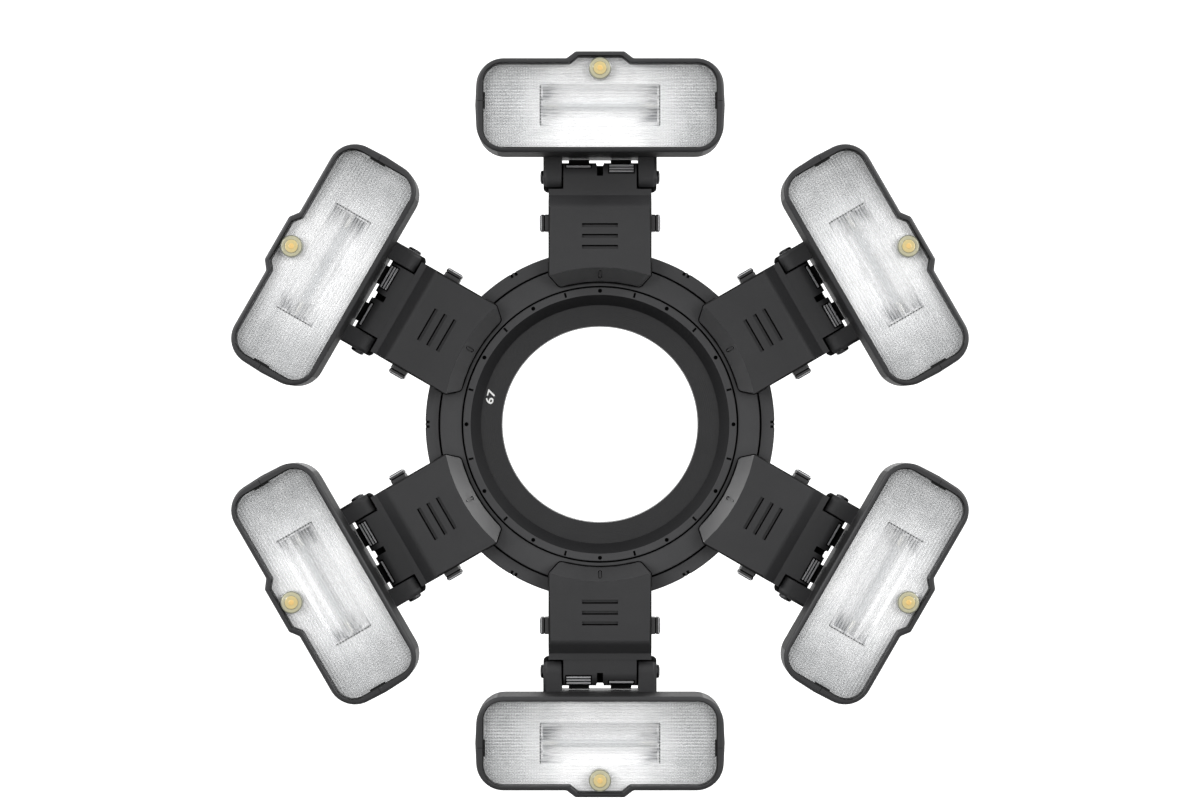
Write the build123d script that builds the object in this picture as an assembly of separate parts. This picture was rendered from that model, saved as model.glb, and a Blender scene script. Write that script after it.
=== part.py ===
from build123d import *
from math import atan2, cos, degrees, pi, radians, sin, tan
import os

# A macro flash: six cordless flash units on a ring that screws into the filter thread of a lens.
# Millimetres. The optical axis is Y, the front faces -Y, +Z is up, and +X is to the right seen from
# the front. The origin is on the axis, in the plane where the adapter ring seats on the lens rim.
# A unit is modelled once, at twelve o'clock: X runs along it, Z is its distance from the axis.
# The units are numbered 1 to 6 clockwise from the top and are turned about Y to their places.

# The six units, and how far a cut runs past what it cuts
UNIT_COUNT = 6
UNIT_STEP = 360 / UNIT_COUNT
OVERCUT = 1.0

# Adapter ring, with the male filter thread M67 on its back
THREAD_R = 67.0 / 2
THREAD_LENGTH = 3.0
ADAPTER_BORE_R = 31.75
ADAPTER_FRONT_R = 41.0
ADAPTER_BACK_R = 39.6
ADAPTER_FRONT_Y = -3.2

# Track ring, which turns on the adapter's conical rim, and the index ring set into its front
RUNNING_FIT = 0.08
FACE_GAP = 0.25
TRACK_SHELF_Y = ADAPTER_FRONT_Y - FACE_GAP
TRACK_FACE_Y = -6.8
TRACK_WEB_R = 52.5
TRACK_BACK_Y = 1.6
LIP_Y = -0.5
FLANGE_R = 56.2
FLANGE_BACK_Y = -3.8
INDEX_TOE_R = 38.5
INDEX_LIP_R = 41.6
INDEX_R = 44.1
INDEX_FRONT_Y = -8.0
LAND_R = 51.4
LAND_Y = -7.6

# Foot: a plate that hooks round the flange of the ring and carries the hinge barrel
FOOT_HALF_WIDTH = 16.45
FOOT_FRONT_Y = -14.5
FOOT_BACK_Y = -0.5
FOOT_INNER_R = 45.9
FOOT_BEVEL_R = 50.0
FOOT_BEVEL_BACK_Y = -9.6
ARC_STEP = 6
ARC_HALF_SPAN = 30
ARC_BASE_V = 25
FOOT_CORNER_U = 13.2
FOOT_CORNER_V = 44.4
FOOT_CORNER_TOP_V = 47.9
FOOT_BASE_V = 41.4
STEP_INNER_V = 69.5
STEP_OUTER_V = 73.2
STEP_Y = -11.8
SHOULDER_V = 75.2
TRACK_CLEARANCE = 0.3
GROOVE_V = (56.5, 60.0, 63.4)
GROOVE_LENGTH = 11.4
GROOVE_WIDTH = 1.2
GROOVE_DEPTH = 0.8

# Hinge: toothed barrel on the foot, two ears on the head, one pin through all three
PIN_V = 79.5
PIN_Y = -6.2
PIN_R = 1.5
PIN_HALF_LENGTH = 19.2
BARREL_R = 5.4
BARREL_HALF_WIDTH = 12.2
BARREL_ROOT = 1.0
BARREL_CORE_R = 4.6
BARREL_STEP = 20
CLICK_ANGLE = 15
CLICK_R = 5.75
CLICK_START = 45
CLICK_END = 105
CLICK_INNER_U = 3.45
CLICK_OUTER_U = 10.05
CLICK_DEPTH = 0.6
SLOT_WIDTH = 1.9
SLOT_DEPTH = 2.0
NOTCH_HALF = 1.15
NOTCH_V = 83.0
EAR_R = 4.9
EAR_STEPS = 6
EAR_INNER_U = 12.35
EAR_OUTER_U = 18.15
EAR_CLEARANCE = 0.4
EAR_FLATS = 8
LIP_THICKNESS = 1.4

# Release buttons in the two edges of the foot
BUTTON_V = 64.3
BUTTON_Y = -10.3
BUTTON_LENGTH = 5.5
BUTTON_WIDTH = 4.6
BUTTON_INNER_U = 11.4
BUTTON_OUTER_U = 19.3
BUTTON_TRAVEL = 1.5
BUTTON_CLEARANCE = 0.15
BUTTON_CHAMFER = 0.5

# Head: outline with its widest point at mid height, and a raised middle on the outer side
HEAD_MID_HALF = 39.2
HEAD_END_HALF = 38.5
HEAD_INNER_V = 85.35
HEAD_MID_V = 100.15
HEAD_OUTER_V = 114.95
HEAD_CORNER_R = 8.7
BUMP_BASE_HALF = 10.5
BUMP_TOP_HALF = 7.7
BUMP_V = 117.1
HEAD_CORNER_STEPS = 4

# Front cover, straight, with the window; the rear cover tapers back from it
FRONT_Y = -25.0
FRONT_WALL = 1.4
JOINT_Y = -12.0
BACK_Y = 27.0
TAPER = 7.2
WINDOW_HALF = 36.6
WINDOW_INNER_V = 87.0
WINDOW_OUTER_V = 113.3
WINDOW_CORNER_R = 6.0
WINDOW_CORNER_STEPS = 3
WINDOW_BUMP_BASE_HALF = 9.0
WINDOW_BUMP_TOP_HALF = 6.9
WINDOW_BUMP_V = 115.4
LENS_LAP = 0.4
LENS_THICKNESS = 1.8
LENS_CLIP = 4.6
LENS_GAP = 0.1
CAVITY_HALF = 34.5
CAVITY_INNER_V = 88.6
CAVITY_OUTER_V = 111.6
CAVITY_TAPER = 5.0
BACK_WALL = 3.0
BRACKET_V = 85.5

# Battery door in the back, hinged along its right-hand end
DOOR_HINGE_U = 29.0
DOOR_LENGTH = 37.0
DOOR_THICKNESS = 1.6
DOOR_HALF_HEIGHT = 8.2
DOOR_CLEARANCE = 0.25
OPENING_MARGIN = 1.2

# Flash module: reflector trough, tube, focus lamp, circuit board and battery
MODULE_FRONT_Y = -21.6
MOUTH_HALF = 18.8
MOUTH_MID_V = 100.7
MOUTH_HALF_HEIGHT = 6.6
TROUGH_DEPTH = 9.0
TROUGH_FLOOR_HALF_HEIGHT = 2.6
TROUGH_WALL = 0.9
TUBE_R = 1.5
TUBE_SIDES = 8
TUBE_HALF_LENGTH = 20.5
TUBE_FROM_FLOOR = 2.6
LAMP_V = 111.9
LAMP_SIZE = 5.0
LAMP_THICKNESS = 1.8
BOARD_Y = 0.0
BOARD_THICKNESS = 1.2
BOARD_HALF_WIDTH = 30.0
BOARD_HALF_HEIGHT = 8.5
BATTERY_Y = 8.0


def cross_section_y(y):
    """Plane square to the optical axis at y; its own axes are X and Z, and its normal is -Y."""
    return Plane((0, y, 0), x_dir=(1, 0, 0), z_dir=(0, -1, 0))


def slab(face, y_from, y_to):
    """Solid between two depths, from an outline drawn in X and Z."""
    return extrude(cross_section_y(y_to) * face, amount=y_to - y_from, dir=(0, -1, 0))


def block(u_from, u_to, y_from, y_to, v_from, v_to):
    """Box given by its limits."""
    middle = ((u_from + u_to) / 2, (y_from + y_to) / 2, (v_from + v_to) / 2)
    return Pos(*middle) * Box(u_to - u_from, y_to - y_from, v_to - v_from)


def ring(section):
    """Body of revolution about the optical axis, from points of (radius, y)."""
    return revolve(Polygon(*section, align=None), Axis.Y)


def rod(radius, u_from, u_to, y, v):
    """Cylinder along X."""
    return Pos((u_from + u_to) / 2, y, v) * Rot(0, 90, 0) * Cylinder(radius, u_to - u_from)


def across(points, u_from, u_to):
    """Solid between two places along X, from a side profile with points of (y, v)."""
    profile = Plane.YZ.offset(u_from) * Polygon(*points, align=None)
    return extrude(profile, amount=u_to - u_from, dir=(1, 0, 0))


def rearward(face, y_from, y_to, taper):
    """Solid that runs back from an outline and narrows by a draft angle."""
    body = slab(face, y_from, y_to)
    sides = [side for side in body.faces() if abs(side.normal_at().Y) < 0.5]
    return draft(sides, Plane((0, y_from, 0), z_dir=(0, 1, 0)), taper)


def rim_radius(y):
    """Radius of the adapter's conical rim, which narrows to the back and so keeps the rings on it."""
    return ADAPTER_BACK_R + (ADAPTER_FRONT_R - ADAPTER_BACK_R) * y / ADAPTER_FRONT_Y


def adapter_ring():
    return ring(
        [
            (ADAPTER_BORE_R, ADAPTER_FRONT_Y),
            (ADAPTER_FRONT_R, ADAPTER_FRONT_Y),
            (ADAPTER_BACK_R, 0),
            (THREAD_R, 0),
            (THREAD_R, THREAD_LENGTH),
            (ADAPTER_BORE_R, THREAD_LENGTH),
        ]
    )


def track_ring():
    lip_r = rim_radius(LIP_Y) + RUNNING_FIT
    return ring(
        [
            (rim_radius(TRACK_SHELF_Y) + RUNNING_FIT, TRACK_SHELF_Y),
            (INDEX_R, TRACK_SHELF_Y),
            (INDEX_R, LAND_Y),
            (LAND_R, LAND_Y),
            (LAND_R, TRACK_FACE_Y),
            (FLANGE_R, TRACK_FACE_Y),
            (FLANGE_R, FLANGE_BACK_Y),
            (TRACK_WEB_R, FLANGE_BACK_Y),
            (TRACK_WEB_R, TRACK_BACK_Y),
            (lip_r, TRACK_BACK_Y),
            (lip_r, LIP_Y),
        ]
    )


def index_ring():
    return ring(
        [
            (INDEX_LIP_R, INDEX_FRONT_Y),
            (INDEX_R, INDEX_FRONT_Y),
            (INDEX_R, TRACK_SHELF_Y),
            (INDEX_TOE_R, TRACK_SHELF_Y),
        ]
    )


def inside_arc(radius):
    """Outline of what lies inside an arc across the foot, with the arc in equal steps."""
    angles = [radians(a) for a in range(-ARC_HALF_SPAN, ARC_HALF_SPAN + 1, ARC_STEP)]
    arc = [(radius * sin(a), radius * cos(a)) for a in angles]
    return Polygon((arc[0][0], ARC_BASE_V), *arc, (arc[-1][0], ARC_BASE_V), align=None)


def ring_space():
    """Room that the foot leaves for the ring: the bevelled end, and the hook round flange and web."""
    under_plate = INDEX_FRONT_Y - TRACK_CLEARANCE
    hook_y = FLANGE_BACK_Y + TRACK_CLEARANCE
    bevel = degrees(atan2(FOOT_BEVEL_R - FOOT_INNER_R, FOOT_BEVEL_BACK_Y - FOOT_FRONT_Y))
    space = rearward(inside_arc(FOOT_BEVEL_R), FOOT_FRONT_Y, FOOT_BEVEL_BACK_Y, bevel)
    space += slab(inside_arc(FOOT_INNER_R), FOOT_BEVEL_BACK_Y, under_plate)
    space += slab(inside_arc(FLANGE_R + 2 * TRACK_CLEARANCE), under_plate, hook_y)
    return space + slab(inside_arc(TRACK_WEB_R + 2 * TRACK_CLEARANCE), hook_y, FOOT_BACK_Y)


def barrel_point(radius, angle):
    """Point (y, v) at an angle about the pin, from the front upward."""
    return PIN_Y - radius * cos(radians(angle)), PIN_V + radius * sin(radians(angle))


def around_pin(radius, sides):
    """Side profile of the hole that grips the pin: flats that touch a circle of the radius."""
    step = 360 / sides
    return [barrel_point(radius / cos(radians(step / 2)), step * (i + 0.5)) for i in range(sides)]


def click_barrel():
    """Hinge barrel, round in front and lower behind, with a click wheel each side of its notch."""
    root_v = SHOULDER_V - BARREL_ROOT
    rim = [(PIN_Y - BARREL_R, root_v)]
    rim += [barrel_point(BARREL_R, angle) for angle in range(0, CLICK_START + 1, CLICK_ANGLE)]
    back = range(CLICK_START + CLICK_ANGLE, 181, BARREL_STEP)
    rim += [barrel_point(BARREL_CORE_R, angle) for angle in back]
    rim.append((PIN_Y + BARREL_CORE_R, root_v))
    barrel = across(rim, -BARREL_HALF_WIDTH, BARREL_HALF_WIDTH)
    wheel = [barrel_point(PIN_R + CLICK_DEPTH, CLICK_START)]
    for angle in range(CLICK_START, CLICK_END, CLICK_ANGLE):
        wheel.append(barrel_point(CLICK_R, angle))
        wheel.append(barrel_point(CLICK_R - CLICK_DEPTH, angle + CLICK_ANGLE / 2))
    wheel.append(barrel_point(CLICK_R, CLICK_END))
    wheel.append(barrel_point(PIN_R + CLICK_DEPTH, CLICK_END))
    for hand in (-1, 1):
        barrel += across(wheel, *sorted((hand * CLICK_INNER_U, hand * CLICK_OUTER_U)))
    return barrel


def foot():
    side = [
        (FOOT_FRONT_Y, FOOT_BASE_V),
        (FOOT_FRONT_Y, STEP_INNER_V),
        (STEP_Y, STEP_OUTER_V),
        (STEP_Y, SHOULDER_V),
        (FOOT_BACK_Y, SHOULDER_V),
        (FOOT_BACK_Y, FOOT_BASE_V),
    ]
    body = across(side, -FOOT_HALF_WIDTH, FOOT_HALF_WIDTH) - ring_space()
    for hand in (-1, 1):
        corner = Polygon(
            (hand * FOOT_CORNER_U, FOOT_CORNER_V),
            (hand * FOOT_HALF_WIDTH, FOOT_CORNER_TOP_V),
            (hand * FOOT_HALF_WIDTH, ARC_BASE_V),
            (hand * FOOT_CORNER_U, ARC_BASE_V),
            align=None,
        )
        body -= slab(corner, FOOT_FRONT_Y, 0)
        seat = sorted((hand * BARREL_HALF_WIDTH, hand * (FOOT_HALF_WIDTH + OVERCUT)))
        body -= block(*seat, STEP_Y + LIP_THICKNESS, 0, PIN_V - EAR_R - EAR_CLEARANCE, PIN_V)
        pocket_floor = BUTTON_INNER_U - BUTTON_TRAVEL - BUTTON_CLEARANCE
        pocket = sorted((hand * pocket_floor, hand * (FOOT_HALF_WIDTH + OVERCUT)))
        half_width = BUTTON_WIDTH / 2 + BUTTON_CLEARANCE
        half_length = BUTTON_LENGTH / 2 + BUTTON_CLEARANCE
        body -= block(
            *pocket,
            BUTTON_Y - half_width,
            BUTTON_Y + half_width,
            BUTTON_V - half_length,
            BUTTON_V + half_length,
        )
    for v in GROOVE_V:
        body -= block(
            -GROOVE_LENGTH / 2,
            GROOVE_LENGTH / 2,
            FOOT_FRONT_Y - OVERCUT,
            FOOT_FRONT_Y + GROOVE_DEPTH,
            v - GROOVE_WIDTH / 2,
            v + GROOVE_WIDTH / 2,
        )
    slot = block(
        -SLOT_WIDTH / 2,
        SLOT_WIDTH / 2,
        PIN_Y - BARREL_R - OVERCUT,
        PIN_Y - BARREL_R + SLOT_DEPTH,
        PIN_V,
        PIN_V + BARREL_R,
    )
    notch = block(-NOTCH_HALF, NOTCH_HALF, PIN_Y - BARREL_R, PIN_Y + BARREL_R, NOTCH_V, PIN_V + BARREL_R)
    body = body + click_barrel() - slot - notch
    return body - rod(PIN_R + RUNNING_FIT, -BARREL_HALF_WIDTH, BARREL_HALF_WIDTH, PIN_Y, PIN_V)


def release_button(hand):
    """Button in one edge of the foot; hand is -1 for the left and 1 for the right."""
    u_from, u_to = sorted((hand * BUTTON_INNER_U, hand * BUTTON_OUTER_U))
    body = block(
        u_from,
        u_to,
        BUTTON_Y - BUTTON_WIDTH / 2,
        BUTTON_Y + BUTTON_WIDTH / 2,
        BUTTON_V - BUTTON_LENGTH / 2,
        BUTTON_V + BUTTON_LENGTH / 2,
    )
    outer_face = body.faces().sort_by(Axis.X)[-1 if hand > 0 else 0]
    return chamfer(outer_face.edges(), BUTTON_CHAMFER)


def hinge_pin():
    return rod(PIN_R, -PIN_HALF_LENGTH, PIN_HALF_LENGTH, PIN_Y, PIN_V)


def rounded(points, corners, radius, steps):
    """Outline in X and Z with the corners of the given numbers rounded in equal steps."""
    outline = []
    for i, point in enumerate(points):
        here = Vector(*point)
        if i not in corners:
            outline.append(here)
            continue
        back = (Vector(*points[i - 1]) - here).normalized()
        onward = (Vector(*points[(i + 1) % len(points)]) - here).normalized()
        half = radians(back.get_angle(onward)) / 2
        centre = here + (back + onward).normalized() * (radius / sin(half))
        start = here + back * (radius / tan(half)) - centre
        end = here + onward * (radius / tan(half)) - centre
        sweep = pi - 2 * half
        for j in range(steps + 1):
            part = sweep * j / steps
            share_start, share_end = sin(sweep - part) / sin(sweep), sin(part) / sin(sweep)
            outline.append(centre + start * share_start + end * share_end)
    return Polygon(*[(p.X, p.Y) for p in outline], align=None)


def head_outline():
    points = [
        (-HEAD_END_HALF, HEAD_INNER_V),
        (HEAD_END_HALF, HEAD_INNER_V),
        (HEAD_MID_HALF, HEAD_MID_V),
        (HEAD_END_HALF, HEAD_OUTER_V),
        (BUMP_BASE_HALF, HEAD_OUTER_V),
        (BUMP_TOP_HALF, BUMP_V),
        (-BUMP_TOP_HALF, BUMP_V),
        (-BUMP_BASE_HALF, HEAD_OUTER_V),
        (-HEAD_END_HALF, HEAD_OUTER_V),
        (-HEAD_MID_HALF, HEAD_MID_V),
    ]
    return rounded(points, (0, 1, 3, 8), HEAD_CORNER_R, HEAD_CORNER_STEPS)


def window_outline():
    points = [
        (-WINDOW_HALF, WINDOW_INNER_V),
        (WINDOW_HALF, WINDOW_INNER_V),
        (WINDOW_HALF, WINDOW_OUTER_V),
        (WINDOW_BUMP_BASE_HALF, WINDOW_OUTER_V),
        (WINDOW_BUMP_TOP_HALF, WINDOW_BUMP_V),
        (-WINDOW_BUMP_TOP_HALF, WINDOW_BUMP_V),
        (-WINDOW_BUMP_BASE_HALF, WINDOW_OUTER_V),
        (-WINDOW_HALF, WINDOW_OUTER_V),
    ]
    return rounded(points, (0, 1, 2, 7), WINDOW_CORNER_R, WINDOW_CORNER_STEPS)


def lens_outline(growth):
    """Window outline with a lap all round and clipped corners, grown by a clearance."""
    lap = LENS_LAP + growth
    side = WINDOW_HALF + lap
    inner = WINDOW_INNER_V - lap
    outer = WINDOW_OUTER_V + lap
    return Polygon(
        (-side + LENS_CLIP, inner),
        (side - LENS_CLIP, inner),
        (side, inner + LENS_CLIP),
        (side, outer - LENS_CLIP),
        (side - LENS_CLIP, outer),
        (WINDOW_BUMP_BASE_HALF + lap, outer),
        (WINDOW_BUMP_TOP_HALF + lap, WINDOW_BUMP_V + lap),
        (-WINDOW_BUMP_TOP_HALF - lap, WINDOW_BUMP_V + lap),
        (-WINDOW_BUMP_BASE_HALF - lap, outer),
        (-side + LENS_CLIP, outer),
        (-side, outer - LENS_CLIP),
        (-side, inner + LENS_CLIP),
        align=None,
    )


def front_cover():
    body = slab(head_outline(), FRONT_Y, JOINT_Y)
    body -= slab(window_outline(), FRONT_Y - OVERCUT, FRONT_Y + FRONT_WALL + OVERCUT)
    return body - slab(lens_outline(LENS_GAP), FRONT_Y + FRONT_WALL, JOINT_Y + OVERCUT)


def front_lens():
    lens_y = FRONT_Y + FRONT_WALL
    return slab(lens_outline(0), lens_y, lens_y + LENS_THICKNESS)


def rectangle(half_width, v_from, v_to):
    return Pos(0, (v_from + v_to) / 2) * Rectangle(2 * half_width, v_to - v_from)


def ear_bracket():
    """Saddle over the barrel with an ear at each end."""
    root_v = HEAD_INNER_V + BACK_WALL
    y_from, y_to = PIN_Y - EAR_R, PIN_Y + EAR_R
    bracket = block(-EAR_OUTER_U, EAR_OUTER_U, y_from, y_to, BRACKET_V, root_v)
    round_end = [barrel_point(EAR_R, -180 / EAR_STEPS * i) for i in range(EAR_STEPS + 1)]
    ear_profile = [(y_from, root_v), *round_end, (y_to, root_v)]
    for hand in (-1, 1):
        u_from, u_to = sorted((hand * EAR_INNER_U, hand * EAR_OUTER_U))
        bracket += across(ear_profile, u_from, u_to)
    return bracket


def door_place():
    """Limits of the battery door along X, Y and Z."""
    return (
        (DOOR_HINGE_U - DOOR_LENGTH, DOOR_HINGE_U),
        (BACK_Y - DOOR_THICKNESS, BACK_Y),
        (HEAD_MID_V - DOOR_HALF_HEIGHT, HEAD_MID_V + DOOR_HALF_HEIGHT),
    )


def battery_door():
    (u_from, u_to), (y_from, y_to), (v_from, v_to) = door_place()
    return block(u_from, u_to, y_from, y_to, v_from, v_to)


def door_space():
    """Recess for the battery door, and the opening under it that the battery passes through."""
    (u_from, u_to), (y_from, y_to), (v_from, v_to) = door_place()
    gap = DOOR_CLEARANCE
    swing = DOOR_THICKNESS / 2 + gap
    recess = block(u_from - gap, u_to + swing, y_from, y_to + OVERCUT, v_from - gap, v_to + gap)
    edge = OPENING_MARGIN
    opening = block(u_from + edge, u_to - edge, y_from - BACK_WALL, y_to, v_from + edge, v_to - edge)
    return recess + opening


def rear_cover():
    body = rearward(head_outline(), JOINT_Y, BACK_Y, TAPER)
    mouth = rectangle(CAVITY_HALF, CAVITY_INNER_V, CAVITY_OUTER_V)
    cavity = rearward(mouth, JOINT_Y, BACK_Y - BACK_WALL, CAVITY_TAPER)
    body = body + ear_bracket() - cavity - door_space()
    return body - across(around_pin(PIN_R, EAR_FLATS), -EAR_OUTER_U, EAR_OUTER_U)


def reflector():
    """Open trough behind the window, narrowing to its floor."""
    floor = MODULE_FRONT_Y + TROUGH_DEPTH
    half_inside = [(MODULE_FRONT_Y, MOUTH_HALF_HEIGHT), (floor, TROUGH_FLOOR_HALF_HEIGHT)]
    outside = [(floor + TROUGH_WALL, TROUGH_FLOOR_HALF_HEIGHT), (MODULE_FRONT_Y, MOUTH_HALF_HEIGHT)]
    half_outside = [(y, half + TROUGH_WALL) for y, half in outside]
    upper = [(y, MOUTH_MID_V + half) for y, half in half_outside + half_inside]
    lower = [(y, 2 * MOUTH_MID_V - v) for y, v in reversed(upper)]
    return across(upper + lower, -MOUTH_HALF, MOUTH_HALF)


def flash_module():
    tube_y = MODULE_FRONT_Y + TROUGH_DEPTH - TUBE_FROM_FLOOR
    turns = [2 * pi * i / TUBE_SIDES for i in range(TUBE_SIDES)]
    rim = [(tube_y + TUBE_R * cos(turn), MOUTH_MID_V + TUBE_R * sin(turn)) for turn in turns]
    tube = across(rim, -TUBE_HALF_LENGTH, TUBE_HALF_LENGTH)
    half = LAMP_SIZE / 2
    lamp_back = MODULE_FRONT_Y + LAMP_THICKNESS
    lamp = block(-half, half, MODULE_FRONT_Y, lamp_back, LAMP_V - half, LAMP_V + half)
    board = block(
        -BOARD_HALF_WIDTH,
        BOARD_HALF_WIDTH,
        BOARD_Y,
        BOARD_Y + BOARD_THICKNESS,
        HEAD_MID_V - BOARD_HALF_HEIGHT,
        HEAD_MID_V + BOARD_HALF_HEIGHT,
    )
    (u_from, u_to), (y_from, _), (v_from, v_to) = door_place()
    edge = OPENING_MARGIN + DOOR_CLEARANCE
    battery_back = y_from - DOOR_CLEARANCE
    battery = block(u_from + edge, u_to - edge, BATTERY_Y, battery_back, v_from + edge, v_to - edge)
    return Compound([reflector(), tube, lamp, board, battery])


def main():
    os.makedirs("parts", exist_ok=True)
    parts = {
        "adapter_ring": adapter_ring(),
        "track_ring": track_ring(),
        "index_ring": index_ring(),
    }
    unit = {
        "foot": foot(),
        "button_left": release_button(-1),
        "button_right": release_button(1),
        "hinge_pin": hinge_pin(),
        "rear_cover": rear_cover(),
        "front_cover": front_cover(),
        "battery_door": battery_door(),
        "front_lens": front_lens(),
        "flash_module": flash_module(),
    }
    for i in range(UNIT_COUNT):
        for name, shape in unit.items():
            parts[f"{name}_{i + 1}"] = Rot(0, UNIT_STEP * i, 0) * shape
    for name, shape in parts.items():
        export_step(shape, f"parts/{name}.step")


main()
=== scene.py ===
from math import atan2, cos, hypot, pi, radians, sin, sqrt, tan

import bmesh
import bpy
from mathutils import Matrix, Vector

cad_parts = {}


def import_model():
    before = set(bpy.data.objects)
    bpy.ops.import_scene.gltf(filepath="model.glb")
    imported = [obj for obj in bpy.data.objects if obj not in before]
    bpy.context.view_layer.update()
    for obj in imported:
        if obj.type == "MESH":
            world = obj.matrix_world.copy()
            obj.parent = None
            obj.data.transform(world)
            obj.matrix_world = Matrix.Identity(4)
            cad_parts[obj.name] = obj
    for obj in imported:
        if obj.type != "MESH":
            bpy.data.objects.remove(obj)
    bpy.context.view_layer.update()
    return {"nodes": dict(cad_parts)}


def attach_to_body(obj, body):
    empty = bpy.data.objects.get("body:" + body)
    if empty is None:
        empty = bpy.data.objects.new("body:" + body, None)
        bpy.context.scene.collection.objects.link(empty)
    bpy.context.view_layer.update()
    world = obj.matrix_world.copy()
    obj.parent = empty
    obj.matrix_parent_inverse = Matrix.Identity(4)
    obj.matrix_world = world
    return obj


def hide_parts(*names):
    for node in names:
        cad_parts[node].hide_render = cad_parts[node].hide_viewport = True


# A macro flash seen from the front: six heads on a ring. All sizes are millimetres until a mesh is made.
# A unit is built once, at twelve o'clock: u runs along it to the right, y is depth (the front is -y) and
# v is the distance from the optical axis. Each piece is then turned about the axis to its six places.

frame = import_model()

MM = 0.001
UNITS = 6

# Head
HEAD_MID_HALF = 39.2
HEAD_END_HALF = 38.5
HEAD_INNER_V = 85.35
HEAD_MID_V = 100.15
HEAD_OUTER_V = 114.95
HEAD_CORNER_R = 8.7
BUMP_BASE_HALF = 10.5
BUMP_TOP_HALF = 7.7
BUMP_V = 117.1
BUMP_R = 1.2
WINDOW_HALF = 36.6
WINDOW_INNER_V = 87.0
WINDOW_OUTER_V = 113.3
WINDOW_CORNER_R = 6.0
WINDOW_BUMP_BASE_HALF = 9.4
WINDOW_BUMP_TOP_HALF = 6.9
WINDOW_BUMP_V = 115.4
FRONT_Y = -25.0
JOINT_Y = -12.0
BACK_Y = 27.0
TAPER = 0.1263
LENS_FRONT_Y = -24.2
LENS_STEP_Y = -23.55
LENS_BACK_Y = -21.8
PLATE_Y = -20.9
MOUTH_HALF = 19.05
MOUTH_V = 100.7
MOUTH_V_HALF = 6.6
TROUGH_HALF = 18.6
TROUGH_DEPTH = 3.2
LAMP_V = 111.8
DOOR_V_HALF = 8.2

# Hinge and foot
PIN_V = 79.5
PIN_Y = -6.2
EAR_R = 4.9
EAR_FACE_U = 12.22
EAR_OUTER_U = 18.15
SADDLE_V = 85.5
FOOT_HALF_WIDTH = 16.45
FOOT_FRONT_Y = -14.5
FOOT_BEVEL_R = 50.0
FOOT_INNER_R = 45.9
FOOT_BEVEL_BACK_Y = -9.6
STEP_INNER_V = 69.5
SHADOW_PAD_EDGE = 0.5
BARREL_R = 5.4
CLICK_ROOT_R = 4.75
CLICK_TIP_R = 5.35
GROOVES_V = (56.5, 60.0, 63.4)
GROOVE_HALF = 5.72
GROOVE_V_HALF = 0.62
BUTTON_V = 64.3
BUTTON_Y = -10.3

# Rings
THREAD_R = 33.5
THREAD_LENGTH = 3.0
THREAD_PITCH = 0.75
THREAD_ROOT_R = THREAD_R - 0.61 * THREAD_PITCH
ADAPTER_BORE_R = 31.75
ADAPTER_FRONT_R = 41.0
ADAPTER_BACK_R = 39.6
ADAPTER_FRONT_Y = -3.2
RUNNING_FIT = 0.08
INDEX_R = 44.1
INDEX_LIP_R = 41.6
INDEX_TOE_R = 38.5
INDEX_FRONT_Y = -8.0
SHELF_Y = -3.45
LIP_Y = -0.5
LAND_R = 51.4
LAND_Y = -7.6
FLANGE_R = 56.2
FLANGE_Y = -6.8
FLANGE_BACK_Y = -3.8
WEB_R = 52.5
WEB_BACK_Y = 1.6
MARK_RING_R = 42.9
RING_GAP = 0.6
GAP_DEPTH = 1.6


def shade(hex_colour):
    """sRGB hex colour to the linear values that Blender mixes."""
    channels = [int(hex_colour[i : i + 2], 16) / 255 for i in (1, 3, 5)]
    linear = [c / 12.92 if c <= 0.04045 else ((c + 0.055) / 1.055) ** 2.4 for c in channels]
    return (*linear, 1.0)


def add_node(tree, kind, inputs=None, **options):
    """A node with its options. An input takes a value, an output, or a node for its first live output."""
    node = tree.nodes.new(kind)
    for name, value in options.items():
        setattr(node, name, value)
    for name, value in (inputs or {}).items():
        if isinstance(value, bpy.types.Node):
            value = next(output for output in value.outputs if output.enabled)
        if isinstance(value, bpy.types.NodeSocket):
            tree.links.new(value, node.inputs[name])
        else:
            node.inputs[name].default_value = value
    return node


# Outlines and solids: a solid is a list of rows of points, with equal counts
def both_hands(right):
    """Corners of a closed outline from those of its right half, bottom to top."""
    return right + [(-u, v, radius, steps) for u, v, radius, steps in reversed(right)]


def rounded_loop(corners, inset=0.0):
    """Closed outline of (u, v) from corners (u, v, radius, steps), counterclockwise, shrunk by an inset."""
    loop = []
    for i, (u, v, radius, steps) in enumerate(corners):
        here = Vector((u, v))
        before = (here - Vector(corners[i - 1][:2])).normalized()
        after = (Vector(corners[(i + 1) % len(corners)][:2]) - here).normalized()
        normal_in = Vector((-before.y, before.x))
        normal_out = Vector((-after.y, after.x))
        here += (normal_in + normal_out) * inset / (1 + normal_in.dot(normal_out))
        if steps == 0:
            loop.append(tuple(here))
            continue
        turn = atan2(before.x * after.y - before.y * after.x, before.dot(after))
        radius = max(radius - inset if turn > 0 else radius + inset, 0.05)
        start = here - before * radius * abs(tan(turn / 2))
        centre = start + (normal_in if turn > 0 else -normal_in) * radius
        for j in range(steps + 1):
            loop.append(tuple(centre + Matrix.Rotation(turn * j / steps, 2) @ (start - centre)))
    return loop


def circle(radius, steps):
    """Closed outline of (u, v) round the origin."""
    angles = [2 * pi * i / steps for i in range(steps)]
    return [(radius * cos(a), radius * sin(a)) for a in angles]


def polar(radius, angle, y):
    """Point round the optical axis, from twelve o'clock."""
    return (radius * sin(angle), y, radius * cos(angle))


def levels(corners, insets_and_depths):
    """Rows of one outline, each shrunk by an inset and set at a depth."""
    return [[(u, y, v) for u, v in rounded_loop(corners, inset)] for inset, y in insets_and_depths]


def closed_round(rows):
    """Solid whose last row meets its first, so that it has no ends."""
    return rows + rows[:1]


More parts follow.
